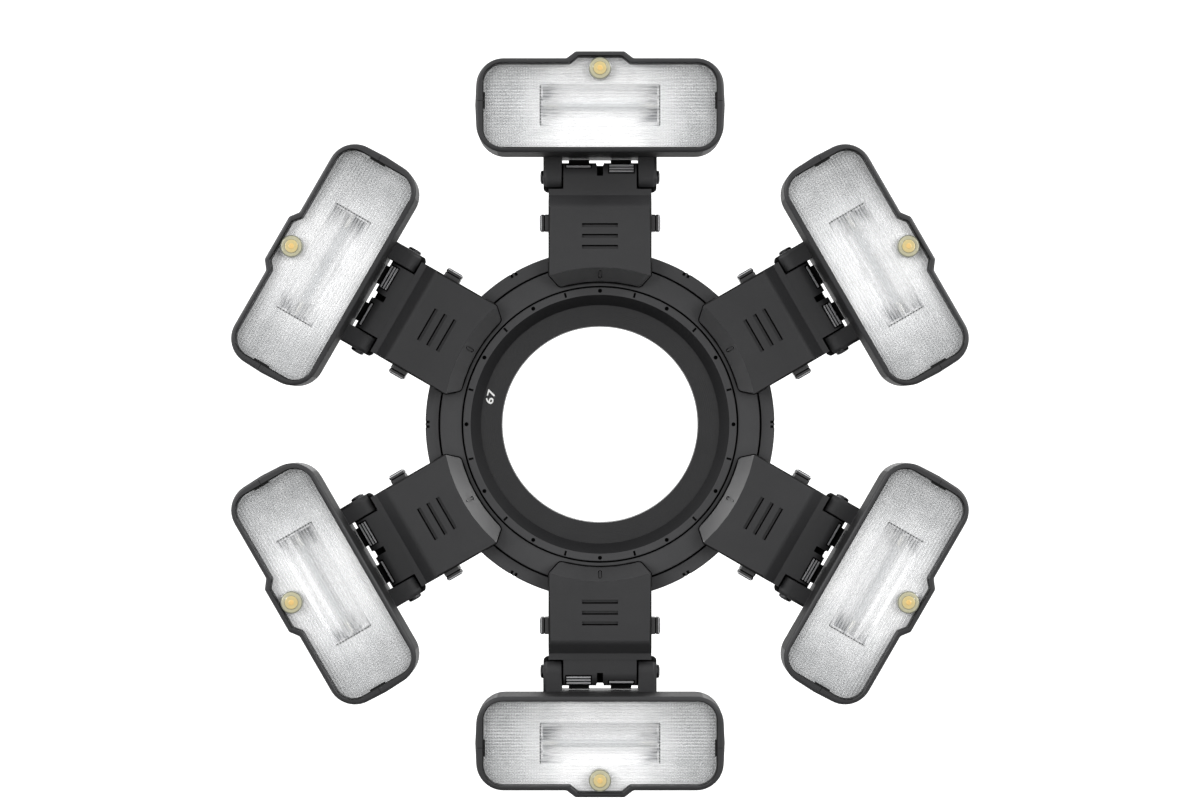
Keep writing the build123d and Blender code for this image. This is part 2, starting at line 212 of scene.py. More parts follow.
def block(u_limits, y_limits, v_limits):
    """Solid box between two limits each way."""
    (u_from, u_to), (v_from, v_to) = u_limits, v_limits
    return [[(u_from, y, v_from), (u_to, y, v_from), (u_to, y, v_to), (u_from, y, v_to)] for y in y_limits]


def across(profile, u_from, u_to):
    """Solid along u from a side profile of (y, v)."""
    return [[(u, y, v) for y, v in profile] for u in (u_from, u_to)]


def turned(section, steps=360):
    """Body of revolution about the optical axis from a closed section of (radius, y)."""
    angles = [2 * pi * i / steps for i in range(steps)]
    return closed_round([[polar(radius, angle, y) for radius, y in section] for angle in angles])


def disc(radii_and_depths, centre, steps=48):
    """Round solid that faces the front, from (radius, y) pairs round the point (u, v)."""
    rows = []
    for radius, y in radii_and_depths:
        rows.append([(centre[0] + u, y, centre[1] + v) for u, v in circle(radius, steps)])
    return rows


def rod(radii_and_stations, centre, steps):
    """Round solid along u, from (radius, u) pairs round the point (y, v)."""
    rows = []
    for radius, u in radii_and_stations:
        rows.append([(u, centre[0] + y, centre[1] + v) for y, v in circle(radius, steps)])
    return rows


def quarter_round(radius, edge_y, way, steps):
    """Insets and depths of a rounded edge that ends at edge_y; the way is -1 to the front, 1 to the back."""
    angles = [pi / 2 * i / steps for i in range(1, steps + 1)]
    return [(radius * (1 - cos(a)), edge_y - way * radius * (1 - sin(a))) for a in angles]


def about_pin(radius, angle):
    """Point (y, v) at an angle in degrees above the pin's front."""
    return (PIN_Y - radius * cos(radians(angle)), PIN_V + radius * sin(radians(angle)))


HEAD_OUTLINE = both_hands(
    [
        (HEAD_END_HALF, HEAD_INNER_V, HEAD_CORNER_R, 12),
        (HEAD_MID_HALF, HEAD_MID_V, 0, 0),
        (HEAD_END_HALF, HEAD_OUTER_V, HEAD_CORNER_R, 12),
        (BUMP_BASE_HALF, HEAD_OUTER_V, BUMP_R, 3),
        (BUMP_TOP_HALF, BUMP_V, BUMP_R, 3),
    ]
)
WINDOW_OUTLINE = both_hands(
    [
        (WINDOW_HALF, WINDOW_INNER_V, WINDOW_CORNER_R, 12),
        (WINDOW_HALF, HEAD_MID_V, 0, 0),
        (WINDOW_HALF, WINDOW_OUTER_V, WINDOW_CORNER_R, 12),
        (WINDOW_BUMP_BASE_HALF, WINDOW_OUTER_V, BUMP_R, 3),
        (WINDOW_BUMP_TOP_HALF, WINDOW_BUMP_V, BUMP_R, 3),
    ]
)


def window_half(v):
    """Half the window's width at a height, at its narrowest beyond its edges."""
    if v > WINDOW_OUTER_V:
        share = (v - WINDOW_OUTER_V) / (WINDOW_BUMP_V - WINDOW_OUTER_V)
        return WINDOW_BUMP_BASE_HALF + (WINDOW_BUMP_TOP_HALF - WINDOW_BUMP_BASE_HALF) * share
    from_edge = min(v - WINDOW_INNER_V, WINDOW_OUTER_V - v, WINDOW_CORNER_R)
    side = WINDOW_CORNER_R - max(from_edge, 0.0)
    return WINDOW_HALF - WINDOW_CORNER_R + sqrt(WINDOW_CORNER_R**2 - side**2)


# Pieces
def add_object(name, data):
    thing = bpy.data.objects.new(name, data)
    bpy.context.scene.collection.objects.link(thing)
    return thing


def plain_mesh(thing):
    """Mesh of an object as its modifiers or its text make it."""
    return bpy.data.meshes.new_from_object(thing.evaluated_get(bpy.context.evaluated_depsgraph_get()))


def piece_from(form, name, material):
    """Object in metres from a form in millimetres, with its doubles merged and its normals outward."""
    bmesh.ops.remove_doubles(form, verts=form.verts, dist=0.0005)
    bmesh.ops.recalc_face_normals(form, faces=form.faces)
    mesh = bpy.data.meshes.new(name)
    form.to_mesh(mesh)
    form.free()
    mesh.transform(Matrix.Scale(MM, 4))
    mesh.materials.append(material)
    return add_object(name, mesh)


def make_piece(name, material, *solids):
    """Piece from solids. The ends of a solid are closed, unless its last row is its first again."""
    form = bmesh.new()
    for rows in solids:
        made = [[form.verts.new(point) for point in row] for row in rows]
        for first, second in zip(made, made[1:]):
            for i in range(len(first)):
                form.faces.new((first[i - 1], first[i], second[i], second[i - 1]))
        if rows[0] != rows[-1]:
            form.faces.new(made[0][::-1])
            form.faces.new(made[-1])
    return piece_from(form, name, material)


def settle(piece):
    """Applies a piece's modifiers, so that it is a plain mesh."""
    mesh = plain_mesh(piece)
    piece.modifiers.clear()
    piece.data = mesh
    return piece


def smooth(piece, angle=35.0):
    """Smooth shading up to an angle, weighted by area so that large faces stay flat."""
    piece.data.shade_smooth()
    piece.data.set_sharp_from_angle(angle=radians(angle))
    weighted = piece.modifiers.new("normals", "WEIGHTED_NORMAL")
    weighted.weight = 100
    weighted.keep_sharp = True
    return settle(piece)


def soften(piece, width, segments, angle=30.0):
    """Rounds the sharp edges by a width in millimetres and smooths the rest."""
    bevel = piece.modifiers.new("edges", "BEVEL")
    bevel.width = width * MM
    bevel.segments = segments
    bevel.limit_method = "ANGLE"
    bevel.angle_limit = radians(angle)
    bevel.use_clamp_overlap = True
    bevel.miter_outer = "MITER_ARC"
    return smooth(settle(piece), angle)


def carve_with(piece, cutter):
    """Cuts the cutter out of the piece and removes the cutter. The cut faces keep its material."""
    cut = piece.modifiers.new("cut", "BOOLEAN")
    cut.operation = "DIFFERENCE"
    cut.solver = "EXACT"
    cut.material_mode = "TRANSFER"
    cut.object = cutter
    settle(piece)
    bpy.data.objects.remove(cutter)


def carve(piece, material, *solids):
    """Cuts solids out of the piece; the cut faces get the material."""
    carve_with(piece, make_piece("cutter", material, *solids))


def paint(piece, material, chosen):
    """Gives a material to the faces that the test picks by their middle, in millimetres, and direction."""
    piece.data.materials.append(material)
    for face in piece.data.polygons:
        if chosen(face.center / MM, face.normal):
            face.material_index = len(piece.data.materials) - 1


def attach(piece, body, replaced=None):
    """Puts the piece on the body that it rides on, and hides the CAD node that it stands for."""
    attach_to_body(piece, body)
    if replaced:
        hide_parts(replaced)


def round_the_ring(piece, body, replaced=None):
    """Six pieces from the one at twelve o'clock, each riding on its own unit's body.

    Each point keeps its place in the unit, in millimetres, for patterns that lie the same way on all six.
    """
    place = piece.data.attributes.new("unit_place", "FLOAT_VECTOR", "POINT")
    place.data.foreach_set("vector", [c / MM for vertex in piece.data.vertices for c in vertex.co])
    for i in range(UNITS):
        mesh = piece.data.copy()
        mesh.transform(Matrix.Rotation(2 * pi * i / UNITS, 4, "Y"))
        copy = add_object(f"{piece.name}_{i + 1}", mesh)
        attach(copy, f"{body}_{i + 1}", replaced and f"{replaced}_{i + 1}")
    bpy.data.objects.remove(piece)


# Geometry Nodes
def new_tree(name, sockets):
    """Geometry tree with named inputs, each of a kind; returns it with the outputs of its input node."""
    tree = bpy.data.node_groups.new(name, "GeometryNodeTree")
    tree.interface.new_socket("Geometry", in_out="OUTPUT", socket_type="NodeSocketGeometry")
    for label, kind in {"Geometry": "Geometry", **sockets}.items():
        tree.interface.new_socket(label, in_out="INPUT", socket_type=f"NodeSocket{kind}")
    return tree, add_node(tree, "NodeGroupInput").outputs


def end_tree(tree, material, inputs):
    """Ends a tree with real copies of a piece on its points, in one material."""
    placed = add_node(tree, "GeometryNodeInstanceOnPoints", inputs)
    real = add_node(tree, "GeometryNodeRealizeInstances", {"Geometry": placed})
    dressed = add_node(tree, "GeometryNodeSetMaterial", {"Geometry": real, "Material": material})
    add_node(tree, "NodeGroupOutput", {0: dressed})
    return tree


def marks_round_tree():
    """Copies of a small piece at equal steps round the optical axis, each turned to face outward."""
    kinds = {"Count": "Int", "First Angle": "Float", "Piece": "Object", "Material": "Material"}
    tree, given = new_tree("marks_round", kinds)
    points = add_node(tree, "GeometryNodePoints", {"Count": given["Count"]})
    index = add_node(tree, "GeometryNodeInputIndex")
    step = add_node(tree, "ShaderNodeMath", {0: 2 * pi, 1: given["Count"]}, operation="DIVIDE")
    angle = add_node(
        tree, "ShaderNodeMath", {0: index, 1: step, 2: given["First Angle"]}, operation="MULTIPLY_ADD"
    )
    turn = add_node(tree, "ShaderNodeCombineXYZ", {"Y": angle})
    source = add_node(tree, "GeometryNodeObjectInfo", {"Object": given["Piece"]}).outputs["Geometry"]
    return end_tree(tree, given["Material"], {"Points": points, "Instance": source, "Rotation": turn})


def row_tree():
    """Copies of a small piece in a straight row."""
    kinds = {"Count": "Int", "Start": "Vector", "Step": "Vector", "Piece": "Object", "Material": "Material"}
    tree, given = new_tree("row", kinds)
    line = add_node(
        tree,
        "GeometryNodeMeshLine",
        {"Count": given["Count"], "Start Location": given["Start"], "Offset": given["Step"]},
        mode="OFFSET",
    )
    source = add_node(tree, "GeometryNodeObjectInfo", {"Object": given["Piece"]}).outputs["Geometry"]
    return end_tree(tree, given["Material"], {"Points": line, "Instance": source})


def prism_field_tree():
    """Small four-sided prisms in rows behind the part of the field that the base mesh covers.

    They are largest towards the two ends, where the photographed lens shows its grid most.
    """
    sizes = ("Width", "Height", "Centre V", "Pitch U", "Pitch V", "Prism Radius", "Depth", "Front Y")
    fading = ("Small Within", "Full Beyond", "Least Share")
    tree, given = new_tree("prism_field", {**dict.fromkeys(sizes + fading, "Float"), "Material": "Material"})
    columns, rows = (
        add_node(tree, "ShaderNodeMath", {0: given[span], 1: given[pitch]}, operation="DIVIDE")
        for span, pitch in (("Width", "Pitch U"), ("Height", "Pitch V"))
    )
    field = add_node(
        tree,
        "GeometryNodeMeshGrid",
        {"Size X": given["Width"], "Size Y": given["Height"], "Vertices X": columns, "Vertices Y": rows},
    )
    place = add_node(tree, "ShaderNodeCombineXYZ", {"Y": given["Front Y"], "Z": given["Centre V"]})
    standing = add_node(
        tree,
        "GeometryNodeTransform",
        {"Geometry": field, "Translation": place, "Rotation": (pi / 2, 0.0, 0.0)},
    )
    ray = add_node(
        tree,
        "GeometryNodeRaycast",
        {"Target Geometry": given["Geometry"], "Ray Direction": (0.0, 1.0, 0.0), "Ray Length": 1.0},
    )
    missed = add_node(tree, "FunctionNodeBooleanMath", {0: ray.outputs["Is Hit"]}, operation="NOT")
    inside = add_node(
        tree, "GeometryNodeDeleteGeometry", {"Geometry": standing, "Selection": missed}, domain="POINT"
    )
    prism = add_node(
        tree,
        "GeometryNodeMeshCone",
        {"Vertices": 4, "Radius Top": 0.0, "Radius Bottom": given["Prism Radius"], "Depth": given["Depth"]},
        fill_type="NONE",
    )
    laid = add_node(
        tree, "GeometryNodeTransform", {"Geometry": prism, "Rotation": (pi / 2, pi / 4, 0.0)}
    )
    where = add_node(tree, "ShaderNodeSeparateXYZ", {0: add_node(tree, "GeometryNodeInputPosition")})
    away = add_node(tree, "ShaderNodeMath", {0: where.outputs["X"]}, operation="ABSOLUTE")
    share = add_node(
        tree,
        "ShaderNodeMapRange",
        {
            "Value": away,
            "From Min": given["Small Within"],
            "From Max": given["Full Beyond"],
            "To Min": given["Least Share"],
            "To Max": 1.0,
        },
        interpolation_type="SMOOTHSTEP",
    )
    return end_tree(tree, given["Material"], {"Points": inside, "Instance": laid, "Scale": share})


def grow(piece, tree, values):
    """Turns the piece into the plain mesh that a geometry tree makes of it from named values."""
    modifier = piece.modifiers.new("pattern", "NODES")
    modifier.node_group = tree
    sockets = {s.name: s.identifier for s in tree.interface.items_tree if s.in_out == "INPUT"}
    for label, value in values.items():
        modifier[sockets[label]] = value
    piece.data.update()
    return settle(piece)


def copies(name, small, material, tree, values):
    """One piece from copies of a small one, which a geometry tree lays out; the small one is removed."""
    empty = add_object(name, bpy.data.meshes.new(name))
    piece = grow(empty, tree, {**values, "Piece": small, "Material": material})
    bpy.data.objects.remove(small)
    return piece


def carve_copies(piece, tree, values, *solids):
    """Cuts copies of small solids out of the piece, as recesses laid out by a geometry tree, whose cut faces
    are painted shade, nearly black.
    """
    small = make_piece("mark", PAINTED_SHADE_RECESS, *solids)
    carve_with(piece, copies("cutters", small, PAINTED_SHADE_RECESS, tree, values))


def metres(*sizes):
    return tuple(size * MM for size in sizes)


# Materials
def new_material(name):
    material = bpy.data.materials.new(name)
    material.use_nodes = True
    material.node_tree.nodes.clear()
    return material, material.node_tree


def surface(material, inputs):
    """Gives the material its one shader, with these values and patterns."""
    shader = add_node(material.node_tree, "ShaderNodeBsdfPrincipled", inputs)
    add_node(material.node_tree, "ShaderNodeOutputMaterial", {"Surface": shader})
    return material


def two_shades(tree, pattern, dark, light):
    """Colour that drifts between two shades in spots of noise; returns the spots and the colour."""
    spots = add_node(tree, "ShaderNodeTexNoise", pattern)
    colour = add_node(tree, "ShaderNodeMix", {0: spots, 6: shade(dark), 7: shade(light)}, data_type="RGBA")
    return spots, colour


def mottled(name, dark, light, size_mm, detail, settings, depth_mm=0.0, in_unit=False):
    """Material of two shades in spots of a size, which may stand out by a depth.

    The pattern follows the object, or each unit where the six have to look alike.
    """
    material, tree = new_material(name)
    if in_unit:
        place = add_node(tree, "ShaderNodeAttribute", attribute_name="unit_place").outputs["Vector"]
        pattern = {"Vector": place, "Scale": 1 / size_mm, "Detail": detail}
    else:
        place = add_node(tree, "ShaderNodeTexCoord").outputs["Object"]
        pattern = {"Vector": place, "Scale": 1 / (size_mm * MM), "Detail": detail, "Roughness": 0.6}
    spots, colour = two_shades(tree, pattern, dark, light)
    inputs = {"Base Color": colour, **settings}
    if depth_mm:
        inputs["Normal"] = add_node(tree, "ShaderNodeBump", {"Height": spots, "Distance": depth_mm * MM})
    return surface(material, inputs)


def moulded_abs(name, dark, light, roughness, grain_depth=0.02, sheen_level=0.18):
    """Black ABS from a spark-eroded mould: a fine even grain breaks up the sheen.

    The real grain is about 0.1 mm; it is drawn at 0.5 mm, so that it shows at the size of the picture.
    """
    material, tree = new_material(name)
    place = add_node(tree, "ShaderNodeTexCoord").outputs["Object"]
    grain_mm, cloud_mm = 0.5, 14.0
    cloud = {"Vector": place, "Scale": 1 / (cloud_mm * MM), "Detail": 3.0, "Roughness": 0.6}
    colour = two_shades(tree, cloud, dark, light)[1]
    grain = {"Vector": place, "Scale": 1 / (grain_mm * MM), "Detail": 2.0, "Roughness": 0.6}
    grain = add_node(tree, "ShaderNodeTexNoise", grain)
    sheen = add_node(
        tree, "ShaderNodeMapRange", {"Value": grain, "To Min": roughness - 0.08, "To Max": roughness + 0.1}
    )
    bump = add_node(tree, "ShaderNodeBump", {"Height": grain, "Distance": grain_depth * MM})
    inputs = {"Base Color": colour, "Roughness": sheen, "Normal": bump}
    return surface(material, {**inputs, "IOR": 1.53, "Specular IOR Level": sheen_level})


def turned_anodised_aluminium():
    """Black anodised aluminium off the lathe: fine circles round the axis, drawn at 0.6 mm to show."""
    material, tree = new_material("black_anodised_turned_aluminium")
    place = add_node(tree, "ShaderNodeTexCoord").outputs["Object"]
    split = add_node(tree, "ShaderNodeSeparateXYZ", {0: place}).outputs
    flat = add_node(tree, "ShaderNodeCombineXYZ", {"X": split["X"], "Y": split["Z"]})
    radius = add_node(tree, "ShaderNodeVectorMath", {0: flat}, operation="LENGTH")
    circle_mm, cloud_mm = 0.6, 9.0
    turns = add_node(tree, "ShaderNodeMath", {0: radius, 1: 2 * pi / (circle_mm * MM)}, operation="MULTIPLY")
    wave = add_node(tree, "ShaderNodeMath", {0: turns}, operation="SINE")
    bump = add_node(tree, "ShaderNodeBump", {"Height": wave, "Distance": 0.008 * MM})
    cloud = {"Vector": place, "Scale": 1 / (cloud_mm * MM), "Detail": 2.0, "Roughness": 0.6}
    colour = two_shades(tree, cloud, "#171718", "#1f1f20")[1]
    inputs = {"Base Color": colour, "Normal": bump, "Metallic": 0.05, "Roughness": 0.45}
    return surface(material, {**inputs, "Specular IOR Level": 0.25})


def from_the_middle(tree, place, near, far):
    """Share from 0 to 1 of the way out along the unit, between two distances in millimetres."""
    split = add_node(tree, "ShaderNodeSeparateXYZ", {0: place})
    away = add_node(tree, "ShaderNodeMath", {0: split.outputs["X"]}, operation="ABSOLUTE")
    return add_node(
        tree,
        "ShaderNodeMapRange",
        {"Value": away, "From Min": near, "From Max": far},
        interpolation_type="SMOOTHSTEP",
    )


def prism_polycarbonate(name, bright, dark, least_veil, most_veil):
    """Facets in the back of the clear window. They turn the light away, the more so at the ends; the greyer
    colour and thicker veil there are painted shade.

    The veil that this gives comes and goes in clouds about 8 mm wide.
    """
    material, tree = new_material(name)
    place = add_node(tree, "ShaderNodeAttribute", attribute_name="unit_place").outputs["Vector"]
    cloud = add_node(tree, "ShaderNodeTexNoise", {"Vector": place, "Scale": 0.12, "Detail": 2.0})
    clear_within, veiled_beyond = 8.0, 32.0
    ends = from_the_middle(tree, place, clear_within, veiled_beyond)
    share = add_node(tree, "ShaderNodeMath", {0: ends, 1: 0.7, 2: -0.25}, operation="MULTIPLY_ADD")
    share = add_node(
        tree, "ShaderNodeMath", {0: cloud, 1: 0.9, 2: share}, operation="MULTIPLY_ADD", use_clamp=True
    )
    colour = add_node(tree, "ShaderNodeMix", {0: share, 6: shade(bright), 7: shade(dark)}, data_type="RGBA")
    veil = add_node(tree, "ShaderNodeMapRange", {"Value": share, "To Min": least_veil, "To Max": most_veil})
    return surface(material, {"Base Color": colour, "Alpha": veil, "IOR": 1.585, "Roughness": 0.3})


def aluminised_plastic(name, roughness, dark, light, end_colour, near, far, least_patch):
    """Vacuum-metallised plastic: bright, with streaks along the unit, and darker patches towards the ends.

    The streaks are about 25 mm long and 1.1 mm wide, the patches 9 mm long and 2.4 mm wide.
    """
    material, tree = new_material(name)
    place = add_node(tree, "ShaderNodeAttribute", attribute_name="unit_place").outputs["Vector"]
    streaks, patches = (
        add_node(
            tree,
            "ShaderNodeTexNoise",
            {
                "Vector": add_node(tree, "ShaderNodeMapping", {"Vector": place, "Scale": scale}),
                "Scale": 1.0,
                "Detail": detail,
            },
        )
        for scale, detail in (((0.04, 0.9, 0.9), 3.0), ((0.11, 0.42, 0.42), 1.0))
    )
    contrast = add_node(tree, "ShaderNodeMapRange", {"Value": streaks, "From Min": 0.32, "From Max": 0.6})
    colour = add_node(
        tree, "ShaderNodeMix", {0: contrast, 6: shade(dark), 7: shade(light)}, data_type="RGBA"
    )
    patches = add_node(
        tree,
        "ShaderNodeMapRange",
        {"Value": patches, "From Min": 0.42, "From Max": 0.6, "To Min": least_patch, "To Max": 1.0},
    )
    ends = from_the_middle(tree, place, near, far)
    share = add_node(tree, "ShaderNodeMath", {0: ends, 1: patches}, operation="MULTIPLY")
    colour = add_node(
        tree,
        "ShaderNodeMix",
        {0: share, 6: colour, 7: shade(end_colour)},
        data_type="RGBA",
        blend_type="MULTIPLY",
    )
    bump = add_node(tree, "ShaderNodeBump", {"Height": streaks, "Distance": 0.03 * MM})
    inputs = {"Base Color": colour, "Normal": bump, "Metallic": 0.1, "Roughness": roughness}
    return surface(material, inputs)


# Spark-textured covers and ring: mid black with an even grain.
SHELL = moulded_abs("spark_textured_black_abs", "#252526", "#2d2d2e", 0.5)
BEZEL = moulded_abs("bezel_black_abs", "#29292a", "#303031", 0.52, sheen_level=0.15)
RING_ABS = moulded_abs("ring_black_abs", "#353536", "#3e3e3f", 0.48)
# Polished places: the buttons gleam and the bevel shines softly. The light grey on the tips of the teeth and
# near each button's end is a painted highlight.
BUTTON_ABS = moulded_abs("button_black_abs", "#121213", "#19191a", 0.3, 0.008, 0.4)
PAINTED_HIGHLIGHT = moulded_abs("polished_click_teeth", "#a0a0a2", "#b8b8ba", 0.2, 0.004, 0.5)
BEVEL_ABS = moulded_abs("smooth_bevel_abs", "#202021", "#272728", 0.36, 0.01, 0.52)
# Matt and nearly black, without sheen. The cone inside the index ring is dull dark plastic; groove floors,
# walls toward the ring, window and foot edges and carved recesses are painted shade where the light hardly
# reaches.
PAINTED_SHADE_GROOVE = moulded_abs("groove_black_abs", "#141415", "#1a1a1b", 0.6, sheen_level=0.1)
CONE_ABS = moulded_abs("cone_matt_black_abs", "#151516", "#1c1c1d", 0.6, sheen_level=0.1)
PAINTED_SHADE_WALL = moulded_abs("matt_black_abs", "#131314", "#191919", 0.6, sheen_level=0.1)
PAINTED_SHADE_EDGE = moulded_abs("window_edge_black_abs", "#0e0e0e", "#141414", 0.6, sheen_level=0.1)
PAINTED_SHADE_RECESS = moulded_abs("recess_black_abs", "#040404", "#070707", 0.8, sheen_level=0.05)
# Shrunk sleeve of the battery: a plain blue-grey film with a soft gleam.
BATTERY_WRAP = moulded_abs("battery_wrap", "#5b6470", "#677180", 0.4, 0.004)
ANODISED = turned_anodised_aluminium()
# Chemically blackened steel: a satin turned face with a few brighter, worn places.
PIN_STEEL = mottled(
    "blackened_steel", "#232324", "#3d3d3f", 1.6, 4.0, {"Metallic": 0.8, "Roughness": 0.34}, depth_mm=0.01
)
# Black zinc plate: dark, slightly bright where the driver has turned.
SCREW_STEEL = mottled(
    "black_zinc_screw", "#222224", "#4c4c50", 0.8, 3.0, {"Metallic": 0.9, "Roughness": 0.38}
)
# Bright nickel plate: warm and shiny, a little cloudy.
NICKEL = mottled("nickel_contact", "#b5b2a8", "#d5d2ca", 1.2, 2.0, {"Metallic": 1.0, "Roughness": 0.25})
# Pad-printed ink: flat and even, with the slight mottle of a thin film.
WHITE_INK = mottled("white_printing_ink", "#dcdcda", "#f2f2f0", 0.7, 2.0, {"Roughness": 0.55})
# Clear moulded polycarbonate: mostly see-through, with a bright smooth skin that waves with the flow.
CLEAR = mottled(
    "clear_moulded_polycarbonate",
    "#e6e9ec",
    "#ffffff",
    6.25,
    1.0,
    {"IOR": 1.585, "Alpha": 0.05, "Roughness": 0.12},
    depth_mm=0.05,
    in_unit=True,
)
# Clear quartz of the flash tube, with a faint haze.
QUARTZ = mottled(
    "quartz_glass",
    "#eef2f5",
    "#ffffff",
    2.5,
    2.0,
    {"IOR": 1.46, "Alpha": 0.45, "Roughness": 0.05},
    in_unit=True,
)
# The focus lamp: yellow phosphor, a little uneven, in coated khaki resin.
LAMP_GRAIN_MM = 1 / 2.2
PHOSPHOR, LAMP_CHIP, RESIN, RESIN_EDGE = (
    mottled(name, dark, light, LAMP_GRAIN_MM, 3.0, {"Coat Weight": 0.6, "Roughness": 0.35}, in_unit=True)
    for name, dark, light in (
        ("yellow_phosphor", "#b3a066", "#cab981"),
        ("amber_phosphor", "#c79f52", "#dcbd78"),
        ("khaki_resin", "#9a9675", "#b5b196"),
        ("resin_edge", "#58594c", "#777867"),
    )
)
PRISM = prism_polycarbonate("prism_facets_polycarbonate", "#f2f2f3", "#b4b6b7", 0.05, 0.5)
RIB = prism_polycarbonate("rib_facets_polycarbonate", "#f6f6f7", "#cfd0d1", 0.1, 0.4)
REFLECTOR = aluminised_plastic("aluminised_reflector", 0.35, "#f1f1f2", "#ffffff", "#77797c", 10.0, 17.0, 0.2)
BACK_PLATE = aluminised_plastic(
    "aluminised_back_plate", 0.5, "#f3f3f4", "#ffffff", "#e9eaea", 11.0, 17.0, 0.6
)
MARKS_ROUND = marks_round_tree()
PRISM_FIELD = prism_field_tree()
ROW = row_tree()


# Rings
def soft_section(points, radius, steps=2):
    """Closed section of (radius, y) with its corners rounded a little, in counterclockwise order."""
    area = sum(a[0] * b[1] - b[0] * a[1] for a, b in zip(points, points[1:] + points[:1]))
    ordered = points if area > 0 else points[::-1]
    return rounded_loop([(r, y, radius, steps) for r, y in ordered])


def adapter_ring():
    """Ring with a turned face, whose outer rim narrows to the back."""
    section = [
        (ADAPTER_BORE_R, ADAPTER_FRONT_Y),
        (ADAPTER_FRONT_R - 0.3, ADAPTER_FRONT_Y),
        (ADAPTER_FRONT_R, ADAPTER_FRONT_Y + 0.3),
        (ADAPTER_BACK_R, 0.0),
        (THREAD_ROOT_R, 0.0),
        (THREAD_ROOT_R, THREAD_LENGTH),
        (ADAPTER_BORE_R, THREAD_LENGTH),
    ]
    edge_r = 0.15
    piece = smooth(make_piece("adapter", ANODISED, turned(soft_section(section, edge_r))), 30)
    attach(piece, "adapter", "adapter_ring")


def adapter_thread():
    """Male thread on the adapter's back: a true helix that fades out at its end."""
    turn_steps, depth_steps, fade_length, skin_depth = 240, 28, 0.3, 0.3
    rows = []
    for j in range(depth_steps + 1):
        y = THREAD_LENGTH * j / depth_steps
        height = (THREAD_R - THREAD_ROOT_R) * min(1.0, (THREAD_LENGTH - y) / fade_length)
        row = []
        for i in range(turn_steps):
            phase = (y / THREAD_PITCH - i / turn_steps) % 1.0
            radius = THREAD_ROOT_R + height * (1 - abs(2 * phase - 1))
            row.append(polar(radius, 2 * pi * i / turn_steps, y))
        rows.append(row)
    for y in (THREAD_LENGTH - 0.1, 0.1):
        angles = [2 * pi * i / turn_steps for i in range(turn_steps)]
        rows.append([polar(THREAD_ROOT_R - skin_depth, angle, y) for angle in angles])
    piece = smooth(make_piece("adapter_thread", ANODISED, closed_round(rows)), 60)
    attach(piece, "adapter")


def adapter_number():
    """Plain white number for the thread size, printed on the adapter's face."""
    text = bpy.data.curves.new("size_number", "FONT")
    text.body = "67"
    text.align_x = "CENTER"
    text.align_y = "CENTER"
    text.size = 3.5 * MM
    text.space_character = 1.05
    text.offset = 0.05 * MM
    text.extrude = 0.03 * MM
    source = add_object("number_source", text)
    mesh = plain_mesh(source)
    bpy.data.objects.remove(source)
    widened, number_r, number_angle = 1.3, 36.4, radians(284)
    mesh.transform(Matrix.Diagonal((widened, 1.0, 1.0, 1.0)))
    mesh.transform(Matrix.Rotation(pi / 2, 4, "X"))
    mesh.transform(Matrix.Translation(metres(0, ADAPTER_FRONT_Y - 0.02, number_r)))
    mesh.transform(Matrix.Rotation(number_angle, 4, "Y"))
    mesh.materials.append(WHITE_INK)
    attach(add_object("size_number", mesh), "adapter")


def index_ring():
    """Ring with the steep cone inside and 24 small recesses round its face: dots and short lines by turns."""
    face_r, gap_y = INDEX_R - RING_GAP / 3, INDEX_FRONT_Y + GAP_DEPTH
    section = [
        (INDEX_LIP_R, INDEX_FRONT_Y),
        (face_r, INDEX_FRONT_Y),
        (face_r, gap_y),
        (INDEX_R, gap_y),
        (INDEX_R, SHELF_Y),
        (INDEX_TOE_R, SHELF_Y),
    ]
    piece = make_piece("index", RING_ABS, turned(soft_section(section, 0.07)))
    above_y, dot_r, tick_half, tick_v_half = INDEX_FRONT_Y - 0.5, 0.66, 0.33, 0.8
    dot = disc([(dot_r, above_y), (dot_r, INDEX_FRONT_Y + 1.3)], (0, MARK_RING_R), 16)
    tick_v = (MARK_RING_R - tick_v_half, MARK_RING_R + tick_v_half)
    tick = block((-tick_half, tick_half), (above_y, INDEX_FRONT_Y + 1.2), tick_v)
    # The dots and short lines are painted shade, nearly black, on their cut faces.
    for mark, first_angle in ((dot, 0.0), (tick, radians(15))):
        carve_copies(piece, MARKS_ROUND, {"Count": 12, "First Angle": first_angle}, mark)
    smooth(piece, 30)
    paint(
        piece,
        CONE_ABS,
        lambda p, way: hypot(p.x, p.z) < INDEX_LIP_R - 0.03 and p.y > INDEX_FRONT_Y + 0.03,
    )
    attach(piece, "ring", "index_ring")


